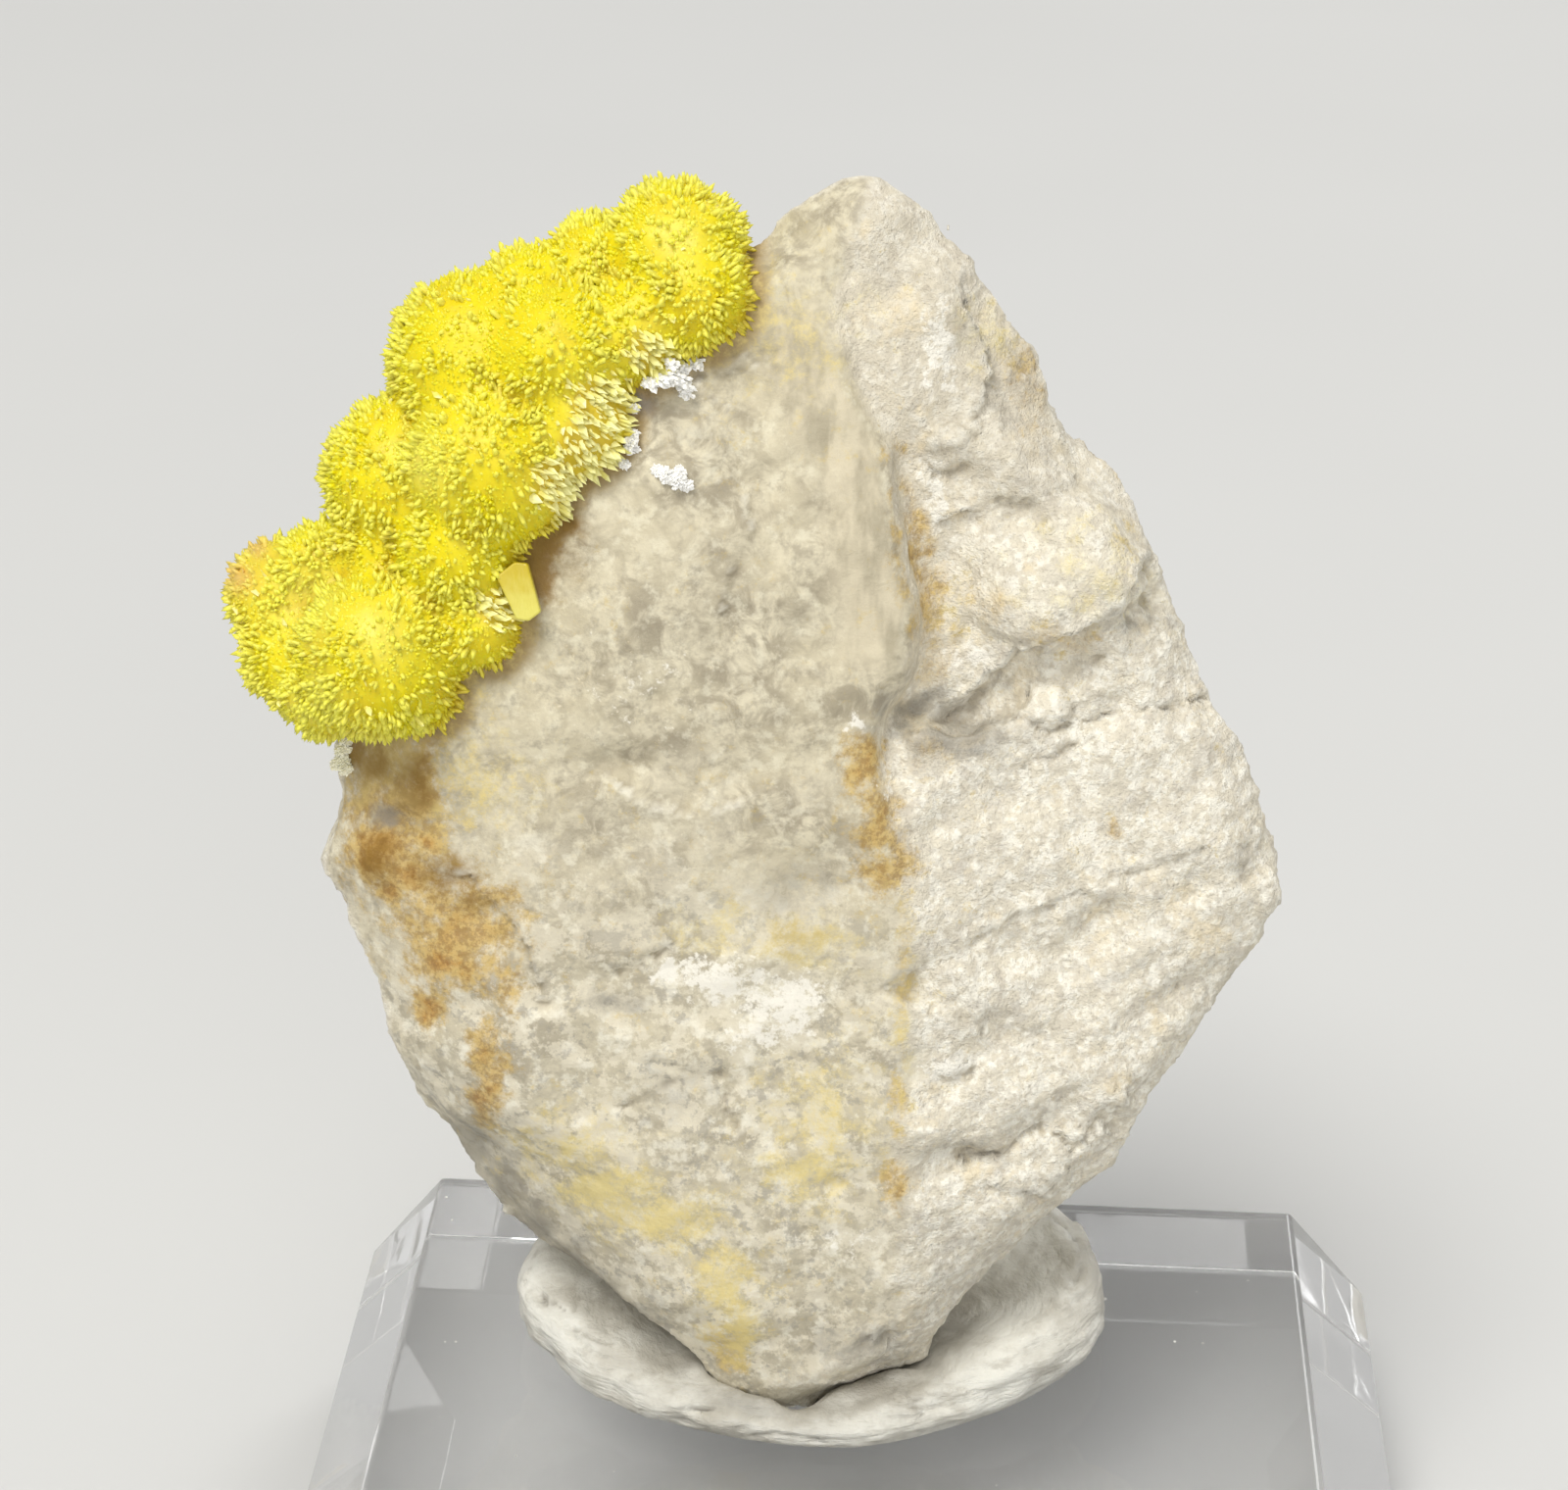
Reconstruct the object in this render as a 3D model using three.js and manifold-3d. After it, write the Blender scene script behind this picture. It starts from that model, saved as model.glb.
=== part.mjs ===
// Creedite specimen: a kite-shaped piece of pale matrix rock with a yellow crust of radiating
// crystals along one edge, held by a pat of white putty on a clear bevelled block.
// Millimetres, +Z up. The origin is the centre of the block's underside.

import * as THREE from 'three';
import { ImprovedNoise } from 'three/addons/math/ImprovedNoise.js';
import { mergeVertices } from 'three/addons/utils/BufferGeometryUtils.js';
import Module from 'manifold-3d';

const wasm = await Module();
wasm.setup();

// The clear block
const blockWidth = 31.75;
const blockHeight = 9.5;
const bevelRun = 2.9;
const bevelDrop = 5.2;

// The rock stands on its tip, turned a little and leaning back. In its own frame +X is across
// the broad face, +Y goes into the rock and +Z up the face.
const rockTip = new THREE.Vector3(-2.1, 2.0, 10.6);
const rockLean = THREE.MathUtils.degToRad(12);
const rockTurn = THREE.MathUtils.degToRad(3.46);
const rowStep = 0.85;
const clearance = 0.3;

// The broad face was measured along sight lines from this point of the rock's frame, so relief
// that stands out of the face, or lies behind it, is moved along those lines.
const eye = { across: 0.3, away: 82.6, up: 44 };

// Edges of the broad face, each as [height, position across]
const leftEdge = [
  [-0.5, -0.35], [0.0, -1.3], [0.5, -1.7], [1.5, -2.3], [2.8, -3.8], [4.1, -4.8], [5.6, -5.8],
  [7.1, -6.8], [8.0, -8.0], [9.0, -9.0], [10.3, -10.1], [11.7, -10.2], [13.5, -10.9],
  [15.5, -11.8], [17.2, -11.3], [20.0, -11.2], [22.0, -10.7], [24.0, -9.8], [26.0, -8.4],
  [28.0, -6.8], [29.6, -5.0], [30.8, -3.0], [31.4, -0.5], [32.2, -0.2], [32.7, 0.3], [33.5, 1.7],
];
const rightEdge = [
  [-0.5, 0.1], [0.3, 1.9], [0.6, 3.0], [1.0, 4.0], [2.4, 4.8], [3.9, 5.9], [5.7, 7.5], [7.0, 9.2],
  [8.5, 9.9], [10.3, 10.9], [11.6, 11.7], [13.5, 12.7], [15.1, 13.2], [16.3, 12.8],
  [19.0, 12.2], [20.3, 11.2], [21.6, 10.8], [23.0, 10.0], [24.7, 9.2], [25.6, 8.3], [26.2, 7.4],
  [27.5, 6.9], [29.2, 6.5], [30.6, 5.5], [32.4, 4.1], [33.2, 3.3], [33.5, 2.6],
];

// The ridge that parts the smooth left panel from the rough right one
const ridge = [
  [-0.5, -0.1], [2.3, 3.4], [6.7, 3.5], [9.5, 3.3], [12.9, 3.5], [15.1, 3.0], [19.5, 2.5],
  [20.4, 3.4], [22.5, 3.5], [24.0, 3.1], [26.8, 2.8], [28.1, 1.9], [29.8, 1.2], [33.5, 2.1],
];
// How far the right panel lies below the ridge at its foot, by height
const stepDrop = [
  [-0.5, 0], [6.0, 0.1], [13.0, 0.1], [16.0, 0.3], [19.2, 0.75], [20.0, 1.3], [26.5, 1.0],
  [29.5, 0.25], [33.5, 0],
];
// How far the right panel falls from the ridge's foot to the right edge, by height
const rightFall = [
  [-0.5, 0.3], [5.0, 0.9], [12.0, 1.3], [17.0, 1.1], [19.5, 0.9], [20.2, 0.2], [25.0, 0.3],
  [29.0, 0.7], [33.5, 0.4],
];
// Height of the ridge above the plane of the face
const ridgeRise = [
  [-0.5, 0.1], [3.0, 0.9], [8.0, 1.4], [14.0, 1.5], [20.0, 1.7], [26.0, 1.5], [30.0, 0.8],
  [33.5, 0.1],
];

// Swells and hollows on the face: place, half sizes across and up, and rise
const swells = [
  { across: -3.5, up: 22.5, wide: 4.2, tall: 5.5, rise: 0.75 },
  { across: -5.5, up: 13.0, wide: 3.0, tall: 3.0, rise: 0.35 },
  { across: 8.1, up: 23.2, wide: 1.9, tall: 1.5, rise: 1.25 },
  { across: 6.2, up: 21.7, wide: 1.3, tall: 0.9, rise: 0.6 },
  { across: 4.9, up: 22.8, wide: 0.8, tall: 2.4, rise: -0.35 },
  { across: 5.6, up: 27.2, wide: 1.2, tall: 1.4, rise: 0.7 },
  { across: 4.6, up: 30.4, wide: 1.3, tall: 0.9, rise: 0.5 },
  { across: 7.1, up: 19.9, wide: 0.8, tall: 0.6, rise: 0.45 },
  { across: 10.6, up: 21.1, wide: 0.9, tall: 0.6, rise: -0.45 },
  { across: 3.9, up: 19.7, wide: 1.5, tall: 0.45, rise: -0.6 },
  { across: -2.8, up: 20.2, wide: 0.5, tall: 0.4, rise: -0.3 },
  { across: -9.8, up: 16.6, wide: 0.4, tall: 0.4, rise: -0.4 },
  { across: -3.9, up: 11.9, wide: 0.8, tall: 0.6, rise: -0.35 },
  { across: 4.6, up: 7.0, wide: 0.8, tall: 0.5, rise: -0.6 },
  { across: 7.0, up: 7.6, wide: 1.4, tall: 0.5, rise: -0.55 },
  { across: 8.9, up: 8.1, wide: 1.0, tall: 0.8, rise: 0.35 },
];

// Flake scars and joints: straight breaks where the face drops away on the low side of the line
const breaks = [
  { from: [6.6, 13.6], to: [12.9, 16.4], side: -1, drop: 0.55, reach: 3.2 },
  { from: [-9.4, 15.6], to: [-4.6, 12.6], side: -1, drop: 0.3, reach: 1.6 },
  { from: [-5.6, 17.6], to: [-0.6, 17.9], side: 1, drop: 0.3, reach: 1.4 },
  { from: [-2.6, 28.6], to: [-1.0, 25.4], side: -1, drop: 0.3, reach: 1.5 },
  { from: [1.0, 0.2], to: [4.4, 2.0], side: -1, drop: 1.2, reach: 9 },
];
// A break drops over the width of its lip, fades a little past its reach, and is weak at its ends
const breakLip = 0.5;
const breakFade = 1.4;
const breakEnds = { least: 0.6, slope: 6 };

// Bumps of two sizes on the face and on the back: how many to a millimetre, seed, share of the rise
const faceBumps = [{ close: 0.5, seed: 3.3, share: 1 }, { close: 1.1, seed: 8.1, share: 0.7 }];
const backBumps = [{ close: 0.28, seed: 21.7, share: 1 }, { close: 0.8, seed: 13.4, share: 0.5 }];
const bumpRise = { leftPanel: 0.2, rightPanel: 0.5, back: 0.7 };

// The left panel falls by this share of the ridge's rise on its way to the left edge
const leftFall = 0.55;
// Width over which the panel below the ridge reaches its full drop
const stepWidth = 0.35;
// The face rounds off towards its edges over this width, more sharply on the right
const rounding = { width: 2.4, sharper: 1.6, fade: 0.75, drop: 0.8 };

// The side that shows at the lower left stands out past the front edge, by height
const leftFlare = [
  [-0.5, 0], [1.5, 0.3], [2.8, 1.8], [4.1, 2.5], [6.7, 2.3], [8.0, 1.7], [9.0, 1.1], [10.3, 0.3],
  [11.5, 0],
];
// Slope of the rows behind the face: they fall towards the back high up, and rise low down
const backSlope = [[-0.5, -0.1], [3.0, -0.1], [8.0, 0.05], [14.0, 0.33], [24.0, 0.36], [33.5, 0.3]];
// The back is the shallowest of these planes: depth at the frame's origin, then its slopes
const backPlanes = [
  { depth: 9.4, across: 0.12, up: -0.05 },
  { depth: 2.6, across: 0.05, up: 2.1 },
  { depth: 31.6, across: -0.25, up: -0.92 },
  { depth: 15.5, across: -0.8, up: 0.02 },
  { depth: 13.6, across: 0.95, up: -0.02 },
  { depth: 22.0, across: 0.5, up: -0.5 },
  { depth: 9.6, across: -0.55, up: 0.28 },
];
const thinnestRim = 1.5;
// The sides bend between face and back: share of the flare, depth, and most share of the rim's depth
const leftBends = [{ flare: 1, depth: 2.4, most: 0.7 }, { flare: 0.5, depth: 1.3, most: 0.4 }];
const rightBend = 0.55;
// The back is narrower than the face by this share of the width, within limits
const backInset = { share: 0.1, least: 0.05, most: 0.5 };

// Lumps of radiating crystals: place on the face, how far the middle stands out of it, radius
const faceLumps = [
  { across: -2.2, up: 31.4, out: -0.4, radius: 1.95 },
  { across: -1.8, up: 30.2, out: 0.6, radius: 1.5 },
  { across: -3.5, up: 29.6, out: 0.5, radius: 1.4 },
  { across: -4.6, up: 31.0, out: -0.9, radius: 1.65 },
  { across: -7.4, up: 29.2, out: -0.5, radius: 2.25 },
  { across: -5.4, up: 28.9, out: 0.6, radius: 1.85 },
  { across: -4.8, up: 27.3, out: 1.1, radius: 1.6 },
  { across: -9.6, up: 25.9, out: -0.5, radius: 1.95 },
  { across: -7.1, up: 26.2, out: 0.9, radius: 2.15 },
  { across: -9.9, up: 24.0, out: -0.3, radius: 1.4 },
  { across: -8.0, up: 24.0, out: 1.0, radius: 1.6 },
  { across: -12.5, up: 22.7, out: -1.0, radius: 1.45 },
  { across: -12.1, up: 21.3, out: -0.5, radius: 1.6 },
  { across: -10.1, up: 21.2, out: 1.2, radius: 2.05 },
  { across: -11.4, up: 20.6, out: 0.4, radius: 1.5 },
  { across: -7.6, up: 22.0, out: 1.5, radius: 1.1 },
  { across: -3.6, up: 26.8, out: 1.7, radius: 0.6 },
];
// Those that sit over the rock's edge go on round it as a second lump behind, a little smaller
const rimBack = 2.3;
const rimShare = 0.82;
const overRim = (lump) => lump.out < -0.3 && lump.across > -12.4;
const rimLumps = faceLumps.filter(overRim).map((lump) => (
  { ...lump, out: lump.out - rimBack, radius: lump.radius * rimShare, plain: true }
));
const lumps = [...faceLumps, ...rimLumps];
// Lumps of the face over this radius have the finer crystals
const fineLump = 1.9;
// Share of a lump's radius that its crystals stand out, and how far seats and tips vary
const crystalShare = 0.2;
const seatSpread = { least: 0.96, most: 1.04 };
const tipSpread = { least: 0.94, most: 1.1 };
// A crystal whose tip would come this close to another lump's middle isn't raised
const lumpReach = 1.02;
// Plain necks join lumps whose middles are this far apart, in shares of their radii together
const neckGap = { least: 0.66, most: 0.95 };
const neckShare = 0.75;

// A single tabular crystal beside the crust, turned on the face and leaning out of it by degrees
const tablet = {
  across: -6.5, up: 22.85, out: 2.3, length: 1.5, width: 0.85, thick: 0.4, turn: -20, lean: 12,
};
// Crystals of the crust keep this far from the tablet's middle, in shares of its length
const tabletRoom = 0.66;

// Sprays of small white crystals on the rock: place and radius
const tufts = [
  { name: 'white_tuft_upper', across: -2.4, up: 28.2, radius: 0.75, colour: 0xf2f2ee },
  { name: 'white_tuft_lower', across: -2.6, up: 25.9, radius: 0.6, colour: 0xf7f7f5 },
  { name: 'edge_tuft', across: -11.05, up: 18.5, radius: 0.5, colour: 0xe9e2a0 },
];

// The pat of putty: middle, reach to each side and front, and rim heights above the block
const putty = { x: -1.2, y: 6.9, reach: 8.4, depth: 6.0, floor: 0.9, backFloor: 2.6 };
const puttyRim = { front: 1.1, left: 2.3, right: 2.7, back: 3.6 };
const puttySections = 32;
const puttyGap = 0.02;
// Waves along the putty's rim: how close, seed, and share of the height or reach
const rimWaves = { close: 2.2, seed: 5.5, share: 0.18 };
const reachWaves = { close: 1.7, seed: 9.2, share: 0.05 };
// The putty's section from its underside over the rim into the bowl: share of the reach, then
// shares of the rim's height and of the floor's
const puttySection = [
  { reach: 0.3, rim: 0, floor: 0 },
  { reach: 0.93, rim: 0, floor: 0 },
  { reach: 1.0, rim: 0.35, floor: 0 },
  { reach: 1.0, rim: 0.75, floor: 0 },
  { reach: 0.9, rim: 1, floor: 0 },
  { reach: 0.76, rim: 0.85, floor: 0 },
  { reach: 0.58, rim: 0.35, floor: 0.65 },
  { reach: 0.3, rim: 0, floor: 1 },
];

const noise = new ImprovedNoise();
const { clamp, lerp, degToRad } = THREE.MathUtils;
const fullTurn = 2 * Math.PI;
const weld = 1e-4;

// Value at a height of a list of [height, value] pairs
function along(list, height) {
  const next = list.findIndex((pair) => pair[0] >= height);
  if (next === 0) return list[0][1];
  if (next < 0) return list[list.length - 1][1];
  const [lowHeight, lowValue] = list[next - 1];
  const [highHeight, highValue] = list[next];
  return lerp(lowValue, highValue, (height - lowHeight) / (highHeight - lowHeight));
}

function closedGeometry(points, triangles) {
  const geometry = new THREE.BufferGeometry();
  geometry.setAttribute('position', new THREE.Float32BufferAttribute(points.flat(), 3));
  geometry.setIndex(triangles.flat());
  return geometry;
}

// Skin over rings of points that run one above the next, with a fan at each end
function loft(rings) {
  const count = rings[0].length;
  const triangles = [];
  for (let row = 0; row + 1 < rings.length; row++) {
    for (let i = 0; i < count; i++) {
      const a = row * count + i;
      const b = row * count + ((i + 1) % count);
      triangles.push([a, b, b + count], [a, b + count, a + count]);
    }
  }
  const points = rings.flat();
  for (const end of [0, rings.length - 1]) {
    const middle = [0, 1, 2].map((k) => rings[end].reduce((sum, p) => sum + p[k], 0) / count);
    const hub = points.push(middle) - 1;
    for (let i = 0; i < count; i++) {
      const a = end * count + i;
      const b = end * count + ((i + 1) % count);
      triangles.push(end === 0 ? [hub, b, a] : [hub, a, b]);
    }
  }
  return closedGeometry(points, triangles);
}

function toSolid(geometry) {
  const bare = geometry.clone();
  bare.deleteAttribute('normal');
  bare.deleteAttribute('uv');
  const merged = mergeVertices(bare, weld);
  const vertProperties = new Float32Array(merged.attributes.position.array);
  const triVerts = new Uint32Array(merged.index.array);
  return new wasm.Manifold(new wasm.Mesh({ numProp: 3, vertProperties, triVerts }));
}

function toGeometry(solid) {
  const mesh = solid.getMesh();
  const geometry = new THREE.BufferGeometry();
  geometry.setAttribute('position', new THREE.BufferAttribute(mesh.vertProperties, 3));
  geometry.setIndex(new THREE.BufferAttribute(mesh.triVerts, 1));
  geometry.computeVertexNormals();
  return geometry;
}

// A copy whose skin stands off the original by a distance
function swollen(geometry, distance) {
  const copy = geometry.clone();
  copy.computeVertexNormals();
  const { position, normal } = copy.attributes;
  for (let i = 0; i < position.count; i++) {
    const point = new THREE.Vector3().fromBufferAttribute(position, i);
    const out = new THREE.Vector3().fromBufferAttribute(normal, i);
    point.addScaledVector(out, distance);
    position.setXYZ(i, point.x, point.y, point.z);
  }
  return copy;
}

// Repeatable random numbers from 0 to 1
function dice(seed) {
  let state = seed;
  return () => {
    state = (state * 1664525 + 1013904223) % 4294967296;
    return state / 4294967296;
  };
}

function breakDrop(across, up) {
  let drop = 0;
  for (const cut of breaks) {
    const run = new THREE.Vector2(cut.to[0] - cut.from[0], cut.to[1] - cut.from[1]);
    const length = run.length();
    run.divideScalar(length);
    const offset = new THREE.Vector2(across - cut.from[0], up - cut.from[1]);
    const lengthwise = offset.dot(run) / length;
    const past = cut.side * (run.x * offset.y - run.y * offset.x);
    if (past <= 0 || past > cut.reach) continue;
    const fromEnd = Math.min(lengthwise, 1 - lengthwise);
    const ends = clamp(fromEnd * breakEnds.slope + breakEnds.least, 0, 1);
    drop += cut.drop * clamp(past / breakLip, 0, 1) * ends * (1 - past / (cut.reach * breakFade));
  }
  return drop;
}

function bumps(list, across, up) {
  const rises = list.map(({ close, seed, share }) => share * noise.noise(across * close, up * close, seed));
  return rises.reduce((sum, rise) => sum + rise, 0);
}

// How far the face stands out of its plane, towards the viewer
function relief(across, up) {
  const left = along(leftEdge, up);
  const right = along(rightEdge, up);
  const crest = along(ridge, up);
  const crestRise = along(ridgeRise, up);
  let rise;
  if (across <= crest) {
    const share = clamp((crest - across) / (crest - left), 0, 1);
    rise = crestRise * (1 - leftFall * share * share);
  } else {
    const share = clamp((across - crest) / (right - crest), 0, 1);
    rise = crestRise - along(stepDrop, up) * clamp((across - crest) / stepWidth, 0, 1);
    rise -= along(rightFall, up) * share;
  }
  for (const swell of swells) {
    const x = (across - swell.across) / swell.wide;
    const y = (up - swell.up) / swell.tall;
    rise += swell.rise * Math.exp(-x * x - y * y);
  }
  rise -= breakDrop(across, up);
  const roughness = across > crest ? bumpRise.rightPanel : bumpRise.leftPanel;
  rise += roughness * bumps(faceBumps, across, up);
  const toEdge = Math.min(across - left, (right - across) * rounding.sharper);
  const rim = clamp(1 - toEdge / rounding.width, 0, 1);
  return rise * (1 - rounding.fade * rim * rim) - rounding.drop * rim * rim;
}

// Depth of the back behind the plane of the face
function backDepth(across, up) {
  let depth = Infinity;
  for (const plane of backPlanes) {
    depth = Math.min(depth, plane.depth + plane.across * across + plane.up * up);
  }
  return Math.max(depth + bumpRise.back * bumps(backBumps, across, up), thinnestRim);
}

// A point of the rock's frame that is seen at a place on the face and stands out of it by rise
function facePoint(across, up, rise) {
  const share = rise / eye.away;
  return [across + share * (eye.across - across), -rise, up + share * (eye.up - up)];
}

// A point behind the face, on a row that slopes as backSlope says
function innerPoint(across, up, depth) {
  return [across, depth, up - depth * along(backSlope, up)];
}

function rockRing(up) {
  const left = along(leftEdge, up);
  const right = along(rightEdge, up);
  const width = right - left;
  const crest = clamp(along(ridge, up), left + 0.2 * width, right - 0.2 * width);
  const foot = crest + Math.min(stepWidth, 0.08 * width);
  const leftShares = [0, 0.05, 0.13, 0.24, 0.37, 0.5, 0.63, 0.76, 0.89];
  const rightShares = [0, 0.1, 0.21, 0.32, 0.43, 0.54, 0.66, 0.78, 0.9, 1];
  const front = leftShares.map((share) => lerp(left, crest, share));
  front.push(crest, ...rightShares.map((share) => lerp(foot, right, share)));
  const ring = front.map((across) => facePoint(across, up, relief(across, up)));
  const flare = along(leftFlare, up);
  const inset = clamp(backInset.share * width, backInset.least, backInset.most);
  ring.push(innerPoint(right - 0.3 * inset, up, backDepth(right, up) * rightBend));
  const backShares = [1, 0.87, 0.74, 0.61, 0.48, 0.35, 0.22, 0.1, 0];
  for (const share of backShares) {
    const across = lerp(left - flare + inset, right - inset, share);
    ring.push(innerPoint(across, up, backDepth(across, up)));
  }
  const leftRim = backDepth(left - flare, up);
  for (const bend of leftBends) {
    const depth = Math.min(bend.depth, leftRim * bend.most);
    ring.push(innerPoint(left - flare * bend.flare, up, depth));
  }
  return ring;
}

function rockGeometry() {
  const bottom = leftEdge[0][0];
  const top = leftEdge[leftEdge.length - 1][0];
  const rows = Math.round((top - bottom) / rowStep);
  const rings = [];
  for (let row = 0; row <= rows; row++) rings.push(rockRing(lerp(bottom, top, row / rows)));
  return loft(rings);
}

// Whether a point of the rock's frame lies in the rock, or closer to its skin than a distance
function inRock(point, distance) {
  const left = along(leftEdge, point.z) - distance;
  const right = along(rightEdge, point.z) + distance;
  if (point.x < left || point.x > right) return false;
  const front = -relief(point.x, point.z) - distance;
  return point.y > front && point.y < backDepth(point.x, point.z) + distance;
}

// The middle of a lump, a tuft or the tablet in the rock's frame
function middleOf(piece) {
  return new THREE.Vector3(...facePoint(piece.across, piece.up, piece.out));
}

// A round solid's skin with its shared corners merged, positions only
function bareBall(detail) {
  const ball = new THREE.IcosahedronGeometry(1, detail);
  ball.deleteAttribute('normal');
  ball.deleteAttribute('uv');
  return mergeVertices(ball, weld);
}

// A ball of radiating crystals: each of its faces that stands free is raised into a
// three-sided point
function crystalBall(ball, roll, neighbours) {
  const middle = middleOf(ball);
  const others = neighbours.filter((other) => other.up !== ball.up || other.out !== ball.out);
  const nearLump = (tip) => others.some((other) => (
    tip.distanceTo(middleOf(other)) < other.radius * lumpReach
  ));
  const nearTablet = (tip) => tip.distanceTo(middleOf(tablet)) < tablet.length * tabletRoom;
  const buried = (tip, base) => inRock(tip, clearance / 2) || inRock(base, clearance)
    || nearTablet(tip) || nearLump(tip);
  const spread = (range) => lerp(range.least, range.most, roll());
  const round = bareBall(ball.detail);
  const turn = new THREE.Euler(roll() * fullTurn, roll() * fullTurn, roll() * fullTurn);
  const seat = ball.radius * (1 - crystalShare);
  const points = [];
  for (let i = 0; i < round.attributes.position.count; i++) {
    const corner = new THREE.Vector3().fromBufferAttribute(round.attributes.position, i);
    corner.applyEuler(turn).multiplyScalar(seat * spread(seatSpread));
    points.push(corner.add(middle));
  }
  const triangles = [];
  const corners = round.index.array;
  for (let i = 0; i < corners.length; i += 3) {
    const [a, b, c] = corners.slice(i, i + 3);
    const base = new THREE.Vector3().add(points[a]).add(points[b]).add(points[c]).divideScalar(3);
    const tip = base.clone().sub(middle).setLength(ball.radius * spread(tipSpread)).add(middle);
    if (buried(tip, base)) {
      triangles.push([a, b, c]);
      continue;
    }
    const apex = points.push(tip) - 1;
    triangles.push([a, b, apex], [b, c, apex], [c, a, apex]);
  }
  return closedGeometry(points.map((point) => point.toArray()), triangles);
}

// The tabular crystal, grown on every side by an amount
function tabletGeometry(grow) {
  const half = tablet.width / 2 + grow;
  const end = tablet.length / 2 + grow;
  const outline = new THREE.Shape([
    new THREE.Vector2(-half, end * 0.75),
    new THREE.Vector2(-half * 0.75, -end * 0.8),
    new THREE.Vector2(-half * 0.1, -end),
    new THREE.Vector2(half * 0.75, -end * 0.85),
    new THREE.Vector2(half, end * 0.8),
    new THREE.Vector2(half * 0.3, end),
  ]);
  const depth = tablet.thick + 2 * grow;
  const geometry = new THREE.ExtrudeGeometry(outline, { depth, bevelEnabled: false });
  geometry.translate(0, 0, -depth / 2);
  geometry.rotateZ(degToRad(-tablet.turn));
  geometry.rotateX(degToRad(90 - tablet.lean));
  geometry.translate(...middleOf(tablet).toArray());
  return geometry;
}

// A plain ball between each two lumps that touch, so that the crust is one body
function crustNecks() {
  const necks = [];
  lumps.forEach((lump, index) => {
    for (const other of lumps.slice(index + 1)) {
      const reach = lump.radius + other.radius;
      const gap = middleOf(lump).distanceTo(middleOf(other)) / reach;
      if (gap < neckGap.least || gap > neckGap.most) continue;
      const middle = middleOf(lump).lerp(middleOf(other), lump.radius / reach);
      const neck = new THREE.IcosahedronGeometry(neckShare * Math.min(lump.radius, other.radius));
      necks.push(neck.translate(...middle.toArray()));
    }
  });
  return necks;
}

function crustSolid(grownRock) {
  const roll = dice(7);
  const parts = lumps.map((lump) => {
    const detail = lump.radius > fineLump && !lump.plain ? 2 : 1;
    return crystalBall({ ...lump, detail }, roll, lumps);
  });
  parts.push(...crustNecks());
  const [first, ...rest] = parts.map(toSolid);
  const crust = rest.reduce((sum, part) => sum.add(part), first);
  return crust.subtract(grownRock).subtract(toSolid(tabletGeometry(clearance)));
}

function tuftSolid(tuft, grownRock, seed) {
  const out = relief(tuft.across, tuft.up) + clearance;
  const ball = { ...tuft, out, detail: 0 };
  return toSolid(crystalBall(ball, dice(seed), [])).subtract(grownRock);
}

// The block: a square turned on four sides, with its upper edges cut to a bevel
function blockGeometry() {
  const corner = (blockWidth / 2) * Math.SQRT2;
  const topCorner = (blockWidth / 2 - bevelRun) * Math.SQRT2;
  const profile = [
    new THREE.Vector2(0, 0),
    new THREE.Vector2(corner, 0),
    new THREE.Vector2(corner, blockHeight - bevelDrop),
    new THREE.Vector2(topCorner, blockHeight),
    new THREE.Vector2(0, blockHeight),
  ];
  const geometry = new THREE.LatheGeometry(profile, 4, Math.PI / 4);
  geometry.rotateX(Math.PI / 2);
  return geometry;
}

// Height of the putty's rim above the block, by direction: 0 is to the right, and back is 90
function rimHeight(angle) {
  const side = Math.cos(angle);
  const back = Math.sin(angle);
  const sides = side > 0 ? puttyRim.right : puttyRim.left;
  const ends = back > 0 ? puttyRim.back : puttyRim.front;
  const height = sides * side * side + ends * back * back;
  return height * wave(rimWaves, side, back);
}

function wave({ close, seed, share }, side, back) {
  return 1 + share * noise.noise(close * side, close * back, seed);
}

function puttyGeometry() {
  const rings = puttySection.map((place) => {
    const ring = [];
    for (let i = 0; i < puttySections; i++) {
      const angle = (fullTurn * i) / puttySections;
      const side = Math.cos(angle);
      const back = Math.sin(angle);
      const reach = place.reach * wave(reachWaves, side, back);
      const floor = lerp(putty.floor, putty.backFloor, clamp(back + 0.3, 0, 1));
      const height = place.rim * rimHeight(angle) + place.floor * floor;
      ring.push([
        putty.x + putty.reach * reach * side,
        putty.y + putty.depth * reach * back,
        blockHeight + puttyGap + height,
      ]);
    }
    return ring;
  });
  return loft(rings);
}

function named(name, geometry, look) {
  const mesh = new THREE.Mesh(geometry, new THREE.MeshStandardMaterial(look));
  mesh.name = name;
  return mesh;
}

const specimen = new THREE.Group();
specimen.position.copy(rockTip);
specimen.rotation.set(-rockLean, 0, rockTurn, 'ZYX');
specimen.updateMatrix();

const rock = rockGeometry();
const grownRock = toSolid(swollen(rock, clearance));
const placedRock = toSolid(swollen(rock, clearance).applyMatrix4(specimen.matrix));

specimen.add(named('matrix_rock', rock, { color: 0xcfc8b8, roughness: 0.8 }));
const crust = toGeometry(crustSolid(grownRock));
specimen.add(named('crystal_crust', crust, { color: 0xf2dc1e, roughness: 0.3 }));
specimen.add(named('tabular_crystal', tabletGeometry(0), { color: 0xf0c860, roughness: 0.3 }));
tufts.forEach((tuft, index) => {
  const solid = tuftSolid(tuft, grownRock, 31 + index);
  specimen.add(named(tuft.name, toGeometry(solid), { color: tuft.colour, roughness: 0.35 }));
});

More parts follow.
